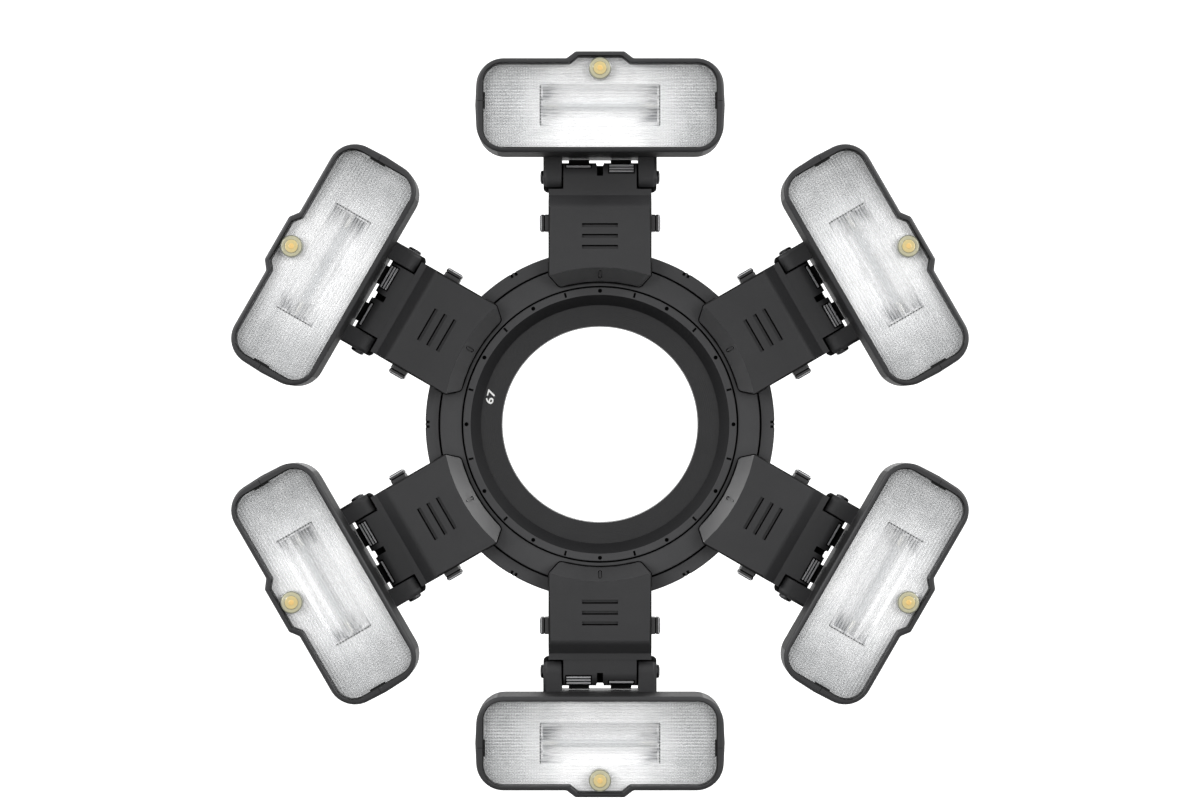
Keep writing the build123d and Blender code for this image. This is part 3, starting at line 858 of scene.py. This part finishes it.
def track_ring():
    """Flange and raised land, a fine gap each side of the land, and pairs of notches in the rim."""
    narrowing = (ADAPTER_BACK_R - ADAPTER_FRONT_R) / -ADAPTER_FRONT_Y
    top_r, lip_r = (ADAPTER_BACK_R + narrowing * y + RUNNING_FIT for y in (SHELF_Y, LIP_Y))
    land_r, gap_y = INDEX_R + RING_GAP * 2 / 3, INDEX_FRONT_Y + GAP_DEPTH
    section = [
        (top_r, SHELF_Y),
        (INDEX_R + 0.05, SHELF_Y),
        (INDEX_R + 0.05, gap_y),
        (land_r, gap_y),
        (land_r, LAND_Y),
        (LAND_R - 0.2, LAND_Y),
        (LAND_R, LAND_Y + 0.2),
        (LAND_R, FLANGE_Y + 1.0),
        (LAND_R + RING_GAP, FLANGE_Y + 1.0),
        (LAND_R + RING_GAP, FLANGE_Y),
        (FLANGE_R - 0.3, FLANGE_Y),
        (FLANGE_R, FLANGE_Y + 0.3),
        (FLANGE_R, FLANGE_BACK_Y - 0.3),
        (FLANGE_R - 0.3, FLANGE_BACK_Y),
        (WEB_R, FLANGE_BACK_Y),
        (WEB_R, WEB_BACK_Y - 0.3),
        (WEB_R - 0.3, WEB_BACK_Y),
        (lip_r, WEB_BACK_Y),
        (lip_r, LIP_Y),
    ]
    piece = make_piece("track", RING_ABS, turned(soft_section(section, 0.08, 1)))
    middle_u, half, notch_depth, notch_reach = 0.75, 0.42, 2.0, 1.35
    notch_y, notch_v = (FLANGE_Y - 0.5, FLANGE_Y + notch_depth), (FLANGE_R - notch_reach, FLANGE_R + 0.6)
    pair = [block((middle - half, middle + half), notch_y, notch_v) for middle in (-middle_u, middle_u)]
    # The notches are painted shade, nearly black, on their cut faces.
    carve_copies(piece, MARKS_ROUND, {"Count": 24, "First Angle": 0.0}, *pair)
    smooth(piece, 30)

    def in_a_gap(p, way):
        out_from = [hypot(p.x, p.z) - radius for radius in (INDEX_R, LAND_R)]
        return LAND_Y + 0.3 < p.y < SHELF_Y - 0.1 and any(-0.02 < r < RING_GAP + 0.02 for r in out_from)

    # The walls of the fine gaps each side of the land are painted shade, nearly black.
    paint(piece, PAINTED_SHADE_RECESS, in_a_gap)
    attach(piece, "ring", "track_ring")


# Units
def foot_blank():
    """The frame's foot, its triangles joined into flat faces, with soft long edges on its face."""
    form = bmesh.new()
    form.from_mesh(frame["nodes"]["foot_1"].data)
    bmesh.ops.transform(form, matrix=Matrix.Scale(1 / MM, 4), verts=form.verts)
    bmesh.ops.remove_doubles(form, verts=form.verts, dist=0.02)
    bmesh.ops.dissolve_limit(form, angle_limit=radians(0.5), verts=form.verts, edges=form.edges)
    long_edges = []
    for edge in form.edges:
        first, second = (vertex.co for vertex in edge.verts)
        middle, way = (first + second) / 2, (second - first).normalized()
        on_side = abs(way.z) > 0.9 and abs(middle.x) > FOOT_HALF_WIDTH - 0.1
        on_step = abs(middle.z - STEP_INNER_V) < 0.05
        if abs(middle.y - FOOT_FRONT_Y) < 0.01 and (on_side or on_step):
            long_edges.append(edge)
    edge_r = 1.0
    bmesh.ops.bevel(form, geom=long_edges, offset=edge_r, segments=5, profile=0.5, affect="EDGES")
    return piece_from(form, "foot_plate", SHELL)


def cut_foot_corners(piece):
    """Round corners at the inner end, where the foot narrows to the ring."""
    outside, beside, below_v, above_v, ends_u = 17.6, FOOT_HALF_WIDTH + 0.01, 42, 52, 9.9
    corners = [(outside, below_v, 0, 0), (outside, above_v, 0, 0), (beside, above_v, 0, 0)]
    corners += [(beside, 47.9, 1.6, 6), (12.87, 44.04, 1.5, 6)]
    corners += [(ends_u, 44.82, 0, 0), (ends_u, below_v, 0, 0)]
    outline = rounded_loop(corners)
    for hand in (-1, 1):
        carve(piece, SHELL, [[(hand * u, y, v) for u, v in outline] for y in (FOOT_FRONT_Y - 1, LAND_Y)])


def cut_finger_grooves(piece):
    """Three grooves with a sloping floor and an edge on the side of the head, both painted shade."""
    above_y, shallow_y, deep_y, edge_y = (FOOT_FRONT_Y + depth for depth in (-1.0, 0.02, 0.6, 1.0))
    for v in GROOVES_V:
        inner_v, floor_v, outer_v = v - GROOVE_V_HALF, v + 0.25, v + GROOVE_V_HALF
        floor = [(above_y, inner_v), (shallow_y, inner_v), (deep_y, floor_v), (above_y, floor_v)]
        carve(piece, PAINTED_SHADE_GROOVE, across(floor, -GROOVE_HALF, GROOVE_HALF))
        edge = block((-GROOVE_HALF, GROOVE_HALF), (above_y, edge_y), (v + 0.2, outer_v))
        carve(piece, PAINTED_SHADE_RECESS, edge)


def cut_hinge_recesses(piece):
    """Click recesses in the barrel, narrow gaps beside the ears, and the slot in the barrel's middle, their
    cut faces painted shade, nearly black.
    """
    last_angle, steps, outside_r = 60, 8, 7.0
    wheel_from, wheel_to = 2.6, 11.1
    gap_from, gap_to, gap_y, gap_v = 11.7, EAR_FACE_U + 0.1, (-12.5, -9.0), (75.3, 84.0)
    for hand, first_angle in ((-1, 26), (1, 7)):
        angles = [first_angle + (last_angle - first_angle) * i / steps for i in range(steps + 1)]
        profile = [about_pin(CLICK_ROOT_R, a) for a in angles]
        profile += [about_pin(outside_r, a) for a in angles[::-1]]
        carve(piece, PAINTED_SHADE_RECESS, across(profile, hand * wheel_from, hand * wheel_to))
        carve(piece, PAINTED_SHADE_RECESS, block((hand * gap_from, hand * gap_to), gap_y, gap_v))
    slot_half, slot_depth, front = 0.97, 3.2, PIN_Y - BARREL_R
    slot_v = (PIN_V - 0.05, PIN_V + BARREL_R + 1)
    carve(piece, PAINTED_SHADE_RECESS, block((-slot_half, slot_half), (front - 1, front + slot_depth), slot_v))


def cut_bevel_slot(piece):
    """Line of a long slot mark in the bevelled inner end: a narrow groove whose cut faces are painted shade.
    """
    slot = both_hands([(0.6, -1.85, 0.55, 4), (0.6, 1.85, 0.55, 4)])
    depth, line_width = 0.6, 0.32
    rows = levels(slot, [(0.0, -1.0), (0.0, depth), (line_width, depth), (line_width, -1.0)])
    slope = atan2(FOOT_BEVEL_R - FOOT_INNER_R, FOOT_BEVEL_BACK_Y - FOOT_FRONT_Y)
    middle = (0, (FOOT_FRONT_Y + FOOT_BEVEL_BACK_Y) / 2, (FOOT_BEVEL_R + FOOT_INNER_R) / 2)
    place = Matrix.Translation(middle) @ Matrix.Rotation(pi / 2 - slope, 4, "X")
    carve(piece, PAINTED_SHADE_RECESS, closed_round([[place @ Vector(point) for point in row] for row in rows]))


def foot():
    """Foot plate with the hinge's barrel, from the frame's solid with its fine forms cut in."""
    piece = foot_blank()
    cut_foot_corners(piece)
    cut_finger_grooves(piece)
    cut_hinge_recesses(piece)
    cut_bevel_slot(piece)
    soften(piece, width=0.14, segments=2, angle=25)
    bevel_v, side_v = 51.0, 73.0
    paint(piece, BEVEL_ABS, lambda p, way: way.z < -0.6 and way.y < -0.4 and p.z < bevel_v)
    # The long sides of the foot are painted shade, nearly black, a dark line along each edge.
    paint(
        piece,
        PAINTED_SHADE_EDGE,
        lambda p, way: abs(p.x) > FOOT_HALF_WIDTH - 0.45 and p.y > FOOT_FRONT_Y + 0.02 and p.z < side_v,
    )
    round_the_ring(piece, "foot_body", "foot")


def click_teeth():
    """Tips of the click teeth in the recesses of the barrel, light grey: a painted highlight."""
    base_r, base_half, tip_half, u_from, u_to = CLICK_ROOT_R - 0.1, 1.9, 1.6, 3.0, 10.7
    ridges = []
    for hand, angle in ((-1, 37), (1, 16), (1, 27.5), (1, 42)):
        ridge = [about_pin(base_r, angle - base_half), about_pin(CLICK_TIP_R, angle - tip_half)]
        ridge += [about_pin(CLICK_TIP_R, angle + tip_half), about_pin(base_r, angle + base_half)]
        ridges.append(across(ridge, hand * u_from, hand * u_to))
    round_the_ring(make_piece("click_teeth", PAINTED_HIGHLIGHT, *ridges), "foot_body")


def glide_pad():
    """Nearly black pad under the foot's inner end: a painted shadow that shows as a thin line round it."""
    inner_r, side = FOOT_INNER_R - SHADOW_PAD_EDGE, FOOT_HALF_WIDTH + SHADOW_PAD_EDGE / 2
    arc = [(inner_r * sin(radians(a)), inner_r * cos(radians(a)), 0, 0) for a in range(1, 14, 2)]
    right = arc + [(side - 3.5, 43.8, 1.7, 5), (side, 47.8, 1.7, 5), (side, 52.0, 0, 0)]
    rows = levels(both_hands(right), [(0.0, LAND_Y - 1.1), (0.0, LAND_Y - 0.4)])
    round_the_ring(make_piece("glide_pad", PAINTED_SHADE_RECESS, rows), "foot_body")


def buttons():
    """Release buttons with round corners, a fine groove near the end, and grip lines across it."""
    corners = both_hands([(2.3, -2.75, 0.7, 4), (2.3, 2.75, 0.7, 4)])
    stations = [(11.4, 0.0), (17.55, 0.0), (17.65, 0.18), (17.9, 0.18), (18.0, 0.0), (18.7, 0.0)]
    stations += [(18.95, 0.12), (19.15, 0.35), (19.27, 0.7), (19.3, 1.05)]
    line_u, line_step = 19.5, 1.2
    for hand, side in ((-1, "left"), (1, "right")):
        rows = []
        for u, inset in stations:
            rows.append([(hand * u, BUTTON_Y + y, BUTTON_V + v) for y, v in rounded_loop(corners, inset)])
        piece = make_piece(f"{side}_button_cap", BUTTON_ABS, rows)
        line_limits = (hand * line_u - 0.4, hand * line_u + 0.4)
        line = block(line_limits, (BUTTON_Y - 1.6, BUTTON_Y + 1.6), (-0.16, 0.16))
        start, step = metres(0, 0, BUTTON_V - line_step), metres(0, 0, line_step)
        # The grip lines are painted shade on their cut faces.
        carve_copies(piece, ROW, {"Count": 3, "Start": start, "Step": step}, line)
        smooth(piece)
        # A narrow band near the button's end is a painted highlight, light grey.
        paint(piece, PAINTED_HIGHLIGHT, lambda p, way: 18.72 < abs(p.x) < 19.0 and p.y < BUTTON_Y - 1.5)
        # The fine groove near the end is painted shade, nearly black.
        paint(piece, PAINTED_SHADE_RECESS, lambda p, way: 17.56 < abs(p.x) < 17.99 and p.y < BUTTON_Y)
        round_the_ring(piece, f"{side}_button_body", f"button_{side}")


def hinge_pin():
    """Pin through ears and barrel with a domed cap at each end."""
    right = [(1.5, 0.0), (1.5, 18.1), (2.2, 18.1), (2.2, 18.75), (1.9, 19.05), (1.2, 19.2)]
    left = [(radius, -u) for radius, u in reversed(right)]
    piece = smooth(make_piece("pin_with_caps", PIN_STEEL, rod(left + right, (PIN_Y, PIN_V), 32)))
    round_the_ring(piece, "head_body", "hinge_pin")


def bezel():
    """Front cover: wall, rounded front edge, face, and a step down round the window to the lens."""
    edge_r = 1.1
    outside = [(0.35, JOINT_Y + 0.05), (0.0, JOINT_Y - 0.3), (0.0, FRONT_Y + edge_r)]
    outside += quarter_round(edge_r, FRONT_Y, -1, 5)
    inside = [(-0.32, FRONT_Y), (-0.1, FRONT_Y + 0.2), (0.0, FRONT_Y + 0.5), (0.0, LENS_FRONT_Y + 0.5)]
    inside += [(-0.3, LENS_BACK_Y), (-0.3, JOINT_Y + 0.05)]
    rows = levels(HEAD_OUTLINE, outside) + levels(WINDOW_OUTLINE, inside)
    piece = make_piece("bezel", BEZEL, closed_round(rows))

    line_y, line_v = (FRONT_Y - 1, JOINT_Y - 0.5), (HEAD_MID_V + 1.25, HEAD_MID_V + 1.4)
    lines = [
        block((hand * (WINDOW_HALF + 0.3), hand * (HEAD_MID_HALF + 1)), line_y, line_v) for hand in (-1, 1)
    ]
    # The parting lines are painted shade on their cut faces.
    cutter = make_piece("parting_lines", PAINTED_SHADE_RECESS, *lines)
    line_depth = 0.12
    carve(cutter, PAINTED_SHADE_RECESS, levels(HEAD_OUTLINE, [(line_depth, FRONT_Y + 0.1), (line_depth, JOINT_Y)]))
    carve_with(piece, cutter)
    smooth(piece)

    def round_the_window(p, way):
        in_height = WINDOW_INNER_V - 0.35 < p.z < WINDOW_BUMP_V + 0.35
        return in_height and abs(p.x) < window_half(p.z) + 0.28 and p.y > FRONT_Y + 0.02

    def inner_wall(p, way):
        return way.z < -0.9 and p.z < HEAD_INNER_V + 0.3 and p.y > FRONT_Y + 0.9

    # The window's rim is painted shade, nearly black.
    paint(piece, PAINTED_SHADE_EDGE, round_the_window)
    # The wall that faces the ring is painted shade, matt black.
    paint(piece, PAINTED_SHADE_WALL, inner_wall)
    round_the_ring(piece, "head_body", "front_cover")

    tab_y, tab_v = (LENS_FRONT_Y - 0.2, LENS_FRONT_Y + 0.6), (HEAD_MID_V - 1.2, HEAD_MID_V + 4.1)
    tabs = [block((hand * (WINDOW_HALF - 0.5), hand * (WINDOW_HALF + 0.3)), tab_y, tab_v) for hand in (-1, 1)]
    # The clip tabs beside the window are painted shade, nearly black.
    round_the_ring(make_piece("window_tabs", PAINTED_SHADE_EDGE, *tabs), "head_body")


def housing():
    """Rear cover: drafted shell with round back edges, and three hollows."""
    back_r = 2.4
    rows = [(0.35, JOINT_Y + 0.05), (0.02, JOINT_Y + 0.35)]
    rows += [((y - JOINT_Y) * TAPER, y) for y in (0.0, 12.0, BACK_Y - back_r)]
    last_inset = rows[-1][0]
    rows += [(last_inset + inset, y) for inset, y in quarter_round(back_r, BACK_Y, 1, 6)]
    piece = make_piece("housing", SHELL, levels(HEAD_OUTLINE, rows))
    door_recess = ((-8.3, 30.1), (BACK_Y - 1.7, BACK_Y + 1.0), 8.5)
    battery_bay = ((-6.8, 27.8), (6.0, BACK_Y), 7.0)
    flash_room = ((-34.5, 34.5), (JOINT_Y - 1.0, 5.0), 11.0)
    # The three hollows are painted shade, nearly black, on their cut faces.
    for u_limits, y_limits, v_half in (door_recess, battery_bay, flash_room):
        carve(piece, PAINTED_SHADE_RECESS, block(u_limits, y_limits, (HEAD_MID_V - v_half, HEAD_MID_V + v_half)))
    smooth(piece)
    # The wall that faces the ring is painted shade, matt black.
    paint(piece, PAINTED_SHADE_WALL, lambda p, way: way.z < -0.9 and p.z < HEAD_INNER_V + 5 and p.y < BACK_Y - 3)
    round_the_ring(piece, "head_body", "rear_cover")


def saddle():
    """Saddle over the barrel with its two ears, whose round ends slant in on the outer side."""
    y_limits, root_v = (PIN_Y - EAR_R, PIN_Y + EAR_R), HEAD_INNER_V + 2.5
    solids = [block((-EAR_OUTER_U, EAR_OUTER_U), y_limits, (SADDLE_V, root_v))]
    for hand in (-1, 1):
        rows = []
        for u, radius in ((EAR_FACE_U, EAR_R), (EAR_OUTER_U - 1.0, EAR_R), (EAR_OUTER_U, EAR_R - 0.8)):
            arc = [about_pin(radius, -9.0 * i) for i in range(21)]
            profile = [(y_limits[0], root_v), *arc, (y_limits[1], root_v)]
            rows.append([(hand * u, y, v) for y, v in profile])
        solids.append(rows)
    piece = soften(make_piece("saddle", SHELL, *solids), width=0.3, segments=3)
    # The lower ends of the ears are painted shade, nearly black.
    paint(piece, PAINTED_SHADE_RECESS, lambda p, way: p.z < PIN_V - 3.35)
    round_the_ring(piece, "head_body")


def lens():
    """Clear window with a narrower front, which fills the step of the front cover."""
    rows = [(-0.35, LENS_BACK_Y), (-0.35, LENS_STEP_Y), (0.12, LENS_STEP_Y)]
    rows += [(0.12, LENS_FRONT_Y + 0.2), (0.3, LENS_FRONT_Y)]
    piece = smooth(make_piece("lens_window", CLEAR, levels(WINDOW_OUTLINE, rows)))
    round_the_ring(piece, "head_body", "front_lens")


def lens_pattern():
    """Small prisms on the lens's back, largest towards the ends, and fine ribs along it."""
    margin = 0.5
    covered = levels(WINDOW_OUTLINE, [(margin, LENS_BACK_Y), (margin, LENS_BACK_Y + 0.1)])
    sizes = {
        "Width": 72.8,
        "Height": 28.0,
        "Centre V": 101.2,
        "Pitch U": 0.85,
        "Pitch V": 1.0,
        "Prism Radius": 0.4,
        "Depth": 0.36,
        "Front Y": LENS_BACK_Y - 0.2,
        "Small Within": 12.0,
        "Full Beyond": 27.0,
    }
    values = {label: size * MM for label, size in sizes.items()}
    values |= {"Least Share": 0.05, "Material": PRISM}
    prisms = grow(make_piece("prisms", PRISM, covered), PRISM_FIELD, values)
    round_the_ring(prisms, "head_body")
    rib_half, rib_height, rib_pitch = 0.3, 0.25, 1.0
    ribs = []
    for i in range(28):
        v = WINDOW_INNER_V + 0.7 + i * rib_pitch
        u_half = min(window_half(v - rib_half), window_half(v + rib_half)) - 0.3
        ridge = [(LENS_BACK_Y, v - rib_half), (LENS_BACK_Y + rib_height, v), (LENS_BACK_Y, v + rib_half)]
        ribs.append(across(ridge, -u_half, u_half))
    round_the_ring(make_piece("lens_ribs", RIB, *ribs), "head_body")


def back_plate():
    """Plate behind the lens with the mouth of the reflector."""
    outer_v, plate_back_y = MOUTH_V + MOUTH_V_HALF, PLATE_Y + 0.8
    # The two points near the middle of the mouth's outer side meet the corners of the window's raised middle.
    mouth = both_hands(
        [
            (MOUTH_HALF, MOUTH_V - MOUTH_V_HALF, 0.6, 12),
            (MOUTH_HALF, MOUTH_V, 0, 0),
            (MOUTH_HALF, outer_v, 0.6, 12),
            (5.0, outer_v, 0, 3),
            (3.0, outer_v, 0, 3),
        ]
    )
    rows = levels(WINDOW_OUTLINE, [(-0.1, plate_back_y), (-0.1, PLATE_Y)])
    rows += levels(mouth, [(0.0, PLATE_Y), (0.0, plate_back_y)])
    piece = smooth(make_piece("back_plate", BACK_PLATE, closed_round(rows)))
    round_the_ring(piece, "head_body", "flash_module")


def trough_and_tube():
    """Curved trough with its end plates, and the flash tube in it with an electrode at each end."""
    wall = 0.5
    stations = [i / 14 for i in range(-14, 15)]
    inside = [(PLATE_Y + TROUGH_DEPTH * (1 - abs(s) ** 2.2), MOUTH_V + MOUTH_V_HALF * s) for s in stations]
    outside = [(y + wall, MOUTH_V + (v - MOUTH_V) * (1 + wall / MOUTH_V_HALF)) for y, v in inside]
    solids = [across(inside + outside[::-1], -TROUGH_HALF, TROUGH_HALF)]
    solids += [across(outside, hand * (TROUGH_HALF - wall), hand * TROUGH_HALF) for hand in (-1, 1)]
    round_the_ring(smooth(make_piece("trough", REFLECTOR, *solids), 8), "head_body")

    centre, tube_r = (PLATE_Y + TROUGH_DEPTH - 1.5, MOUTH_V), 1.2
    tube = rod([(tube_r, -TROUGH_HALF), (tube_r, TROUGH_HALF)], centre, 24)
    round_the_ring(smooth(make_piece("flash_tube", QUARTZ, tube)), "head_body")

    right = [(0.6, 13.5), (0.9, 13.9), (0.9, 16.8), (0.4, 17.1), (0.4, TROUGH_HALF)]
    solids = [rod([(radius, hand * u) for radius, u in right], centre, 20) for hand in (-1, 1)]
    round_the_ring(smooth(make_piece("electrodes", NICKEL, *solids)), "head_body")


def focus_lamp():
    """Round lamp behind the raised middle: dark edge of its resin lens, khaki body and yellow centre.

    Each step has a radius, stands a little before the lens's front and narrows over its last part.
    """
    for name, material, radius, top_radius, stands_out, narrows in (
        ("lamp_edge", RESIN_EDGE, 3.5, 3.42, 0.06, 0.06),
        ("lamp_resin", RESIN, 3.18, 2.75, 0.22, 0.12),
        ("lamp_ring", RESIN_EDGE, 2.2, 2.15, 0.3, 0.04),
        ("lamp_body", PHOSPHOR, 2.05, 1.6, 0.42, 0.09),
        ("lamp_chip", LAMP_CHIP, 0.85, 0.6, 0.52, 0.08),
    ):
        top_y = LENS_FRONT_Y - stands_out
        rows = [(radius, LENS_BACK_Y), (radius, top_y + narrows), (top_radius, top_y)]
        piece = smooth(make_piece(name, material, disc(rows, (0.0, LAMP_V))), 30)
        round_the_ring(piece, "head_body")


def battery_door():
    """Door in the back, with five grip lines near its free end."""
    door_v = (HEAD_MID_V - DOOR_V_HALF, HEAD_MID_V + DOOR_V_HALF)
    plate = block((-8.0, 29.0), (BACK_Y - 1.6, BACK_Y), door_v)
    piece = soften(make_piece("door_plate", SHELL, plate), width=0.5, segments=3)
    line = block((-0.35, 0.35), (BACK_Y - 0.45, BACK_Y + 0.5), (HEAD_MID_V - 5.0, HEAD_MID_V + 5.0))
    # The grip lines are painted shade on their cut faces.
    carve_copies(piece, ROW, {"Count": 5, "Start": metres(-5.4, 0, 0), "Step": metres(1.5, 0, 0)}, line)
    round_the_ring(smooth(piece), "door_body", "battery_door")


def battery():
    """Battery in its bay, in a plain sleeve, with its two contacts."""
    cell = block((-6.4, 27.4), (8.0, 25.1), (HEAD_MID_V - 6.7, HEAD_MID_V + 6.7))
    piece = soften(make_piece("battery", BATTERY_WRAP, cell), width=1.2, segments=4)
    round_the_ring(piece, "head_body")
    middles = (HEAD_MID_V - 3.5, HEAD_MID_V + 3.5)
    contacts = [block((24.5, 26.6), (24.9, 25.25), (v - 1.6, v + 1.6)) for v in middles]
    piece = soften(make_piece("battery_contacts", NICKEL, *contacts), width=0.1, segments=2)
    round_the_ring(piece, "head_body")


def screw_head():
    """Low domed head at the origin with a cross recess, facing the back."""
    rows = [(1.25, -0.25), (1.55, -0.05), (1.55, 0.3)]
    piece = make_piece("screw_head", SCREW_STEEL, disc(rows, (0, 0), 24))
    for u_half, v_half in ((0.95, 0.22), (0.22, 0.95)):
        carve(piece, SCREW_STEEL, block((-u_half, u_half), (-0.6, 0.12), (-v_half, v_half)))
    piece.data.transform(Matrix.Rotation(pi, 4, "Z"))
    return piece


def screws():
    """Two rows of two screws in the back of the head and of the foot."""
    for name, body, first, step_u, step_v in (
        ("head_screws", "head_body", (-28.0, BACK_Y, 93.5), 11.5, 13.5),
        ("foot_screws", "foot_body", (-11.5, -0.5, 61.5), 23.0, 10.5),
    ):
        values = {"Count": 2, "Start": metres(*first), "Step": metres(step_u, 0, 0)}
        pair = copies("screw_pair", screw_head(), SCREW_STEEL, ROW, values)
        values = {"Count": 2, "Start": metres(0, 0, 0), "Step": metres(0, 0, step_v)}
        piece = copies(name, pair, SCREW_STEEL, ROW, values)
        round_the_ring(smooth(piece, 30), body)


adapter_ring()
adapter_thread()
adapter_number()
index_ring()
track_ring()
foot()
click_teeth()
glide_pad()
buttons()
hinge_pin()
bezel()
housing()
saddle()
lens()
lens_pattern()
back_plate()
trough_and_tube()
focus_lamp()
battery_door()
battery()
screws()


# Studio
def as_background(tree, plain, pale):
    """The pale shader where the camera sees it, straight on or in metal and glass, and the plain one else."""
    path = add_node(tree, "ShaderNodeLightPath").outputs
    seen = path["Is Camera Ray"]
    for kind in ("Is Glossy Ray", "Is Transmission Ray"):
        seen = add_node(tree, "ShaderNodeMath", {0: seen, 1: path[kind]}, operation="MAXIMUM")
    return add_node(tree, "ShaderNodeMixShader", {0: seen, 1: plain, 2: pale})


def pale_paper():
    """White studio paper: even and dull, and the brighter to the camera the further it is from the object."""
    material, tree = new_material("pale_paper")
    plain = add_node(tree, "ShaderNodeBsdfDiffuse", {"Color": shade("#6c6c6c")})
    paper = add_node(tree, "ShaderNodeBsdfDiffuse", {"Color": shade("#b4b4b4")})
    place = add_node(tree, "ShaderNodeTexCoord").outputs["Object"]
    away = add_node(tree, "ShaderNodeVectorMath", {0: place}, operation="LENGTH")
    glow = add_node(
        tree,
        "ShaderNodeMapRange",
        {"Value": away, "From Min": 0.35, "From Max": 1.2, "To Min": 0.15, "To Max": 1.0},
        interpolation_type="SMOOTHSTEP",
    )
    light = add_node(tree, "ShaderNodeEmission", {"Color": (1, 1, 1, 1), "Strength": glow})
    lit = add_node(tree, "ShaderNodeAddShader", {0: paper, 1: light})
    add_node(tree, "ShaderNodeOutputMaterial", {"Surface": as_background(tree, plain, lit)})
    return material


def backdrop():
    """Floor that curves up into a wall, in metres. The camera sees it near white, with the soft shadow."""
    floor_z, wall_y, front_y, bend_r, half_width, top_z = -0.3, 1.9, -2.6, 0.4, 3.0, 2.4
    profile = [(front_y, floor_z), (wall_y - bend_r, floor_z)]
    for i in range(1, 13):
        angle = pi / 2 * i / 12
        profile.append((wall_y - bend_r + bend_r * sin(angle), floor_z + bend_r * (1 - cos(angle))))
    profile.append((wall_y, top_z))
    mesh = bpy.data.meshes.new("backdrop")
    points = [(x, y, z) for y, z in profile for x in (-half_width, half_width)]
    faces = [(2 * i, 2 * i + 1, 2 * i + 3, 2 * i + 2) for i in range(len(profile) - 1)]
    mesh.from_pydata(points, [], faces)
    mesh.shade_smooth()
    mesh.materials.append(pale_paper())
    add_object("backdrop", mesh)


def soft_box(name, place, width, height, power):
    """Rectangular area lamp that looks at the object's centre."""
    light = bpy.data.lights.new(name, "AREA")
    light.shape = "RECTANGLE"
    light.size = width
    light.size_y = height
    light.energy = power
    lamp = add_object(name, light)
    lamp.location = place
    lamp.rotation_euler = (-Vector(place)).to_track_quat("-Z", "Y").to_euler()


def world():
    surroundings = bpy.data.worlds.new("studio")
    bpy.context.scene.world = surroundings
    surroundings.use_nodes = True
    tree = surroundings.node_tree
    tree.nodes.clear()
    air, white = (
        add_node(tree, "ShaderNodeBackground", {"Color": shade("#ffffff"), "Strength": strength})
        for strength in (0.2, 1.0)
    )
    add_node(tree, "ShaderNodeOutputWorld", {"Surface": as_background(tree, air, white)})


def camera():
    """Camera on the axis, 0.7 m in front, shifted so that the ring's centre lies where the photo has it."""
    distance, focal_px, frame_width = 0.7, 2154.0, 1200.0
    centre_below_middle = 24.3
    data = bpy.data.cameras.new("camera")
    data.sensor_width = 36.0
    data.lens = data.sensor_width * focal_px / frame_width
    data.shift_y = centre_below_middle / frame_width
    data.clip_start, data.clip_end = 0.01, 20.0
    eye = add_object("camera", data)
    eye.location = (0, -distance, 0)
    eye.rotation_euler = (pi / 2, 0, 0)
    bpy.context.scene.camera = eye


backdrop()
soft_box("key_box", (-0.1, -1.2, 1.2), 1.2, 0.7, 2.5)
soft_box("back_box", (0.2, 1.6, 1.0), 1.2, 0.8, 14.0)
for hand in (-1, 1):
    soft_box(f"front_box_{hand}", (hand * 1.1, -1.6, 0.3), 0.9, 0.9, 13.5)
    soft_box(f"side_box_{hand}", (hand * 1.12, -0.25, 0.65), 0.5, 0.6, 24.0)
world()
camera()
bpy.context.scene.view_settings.view_transform = "Standard"
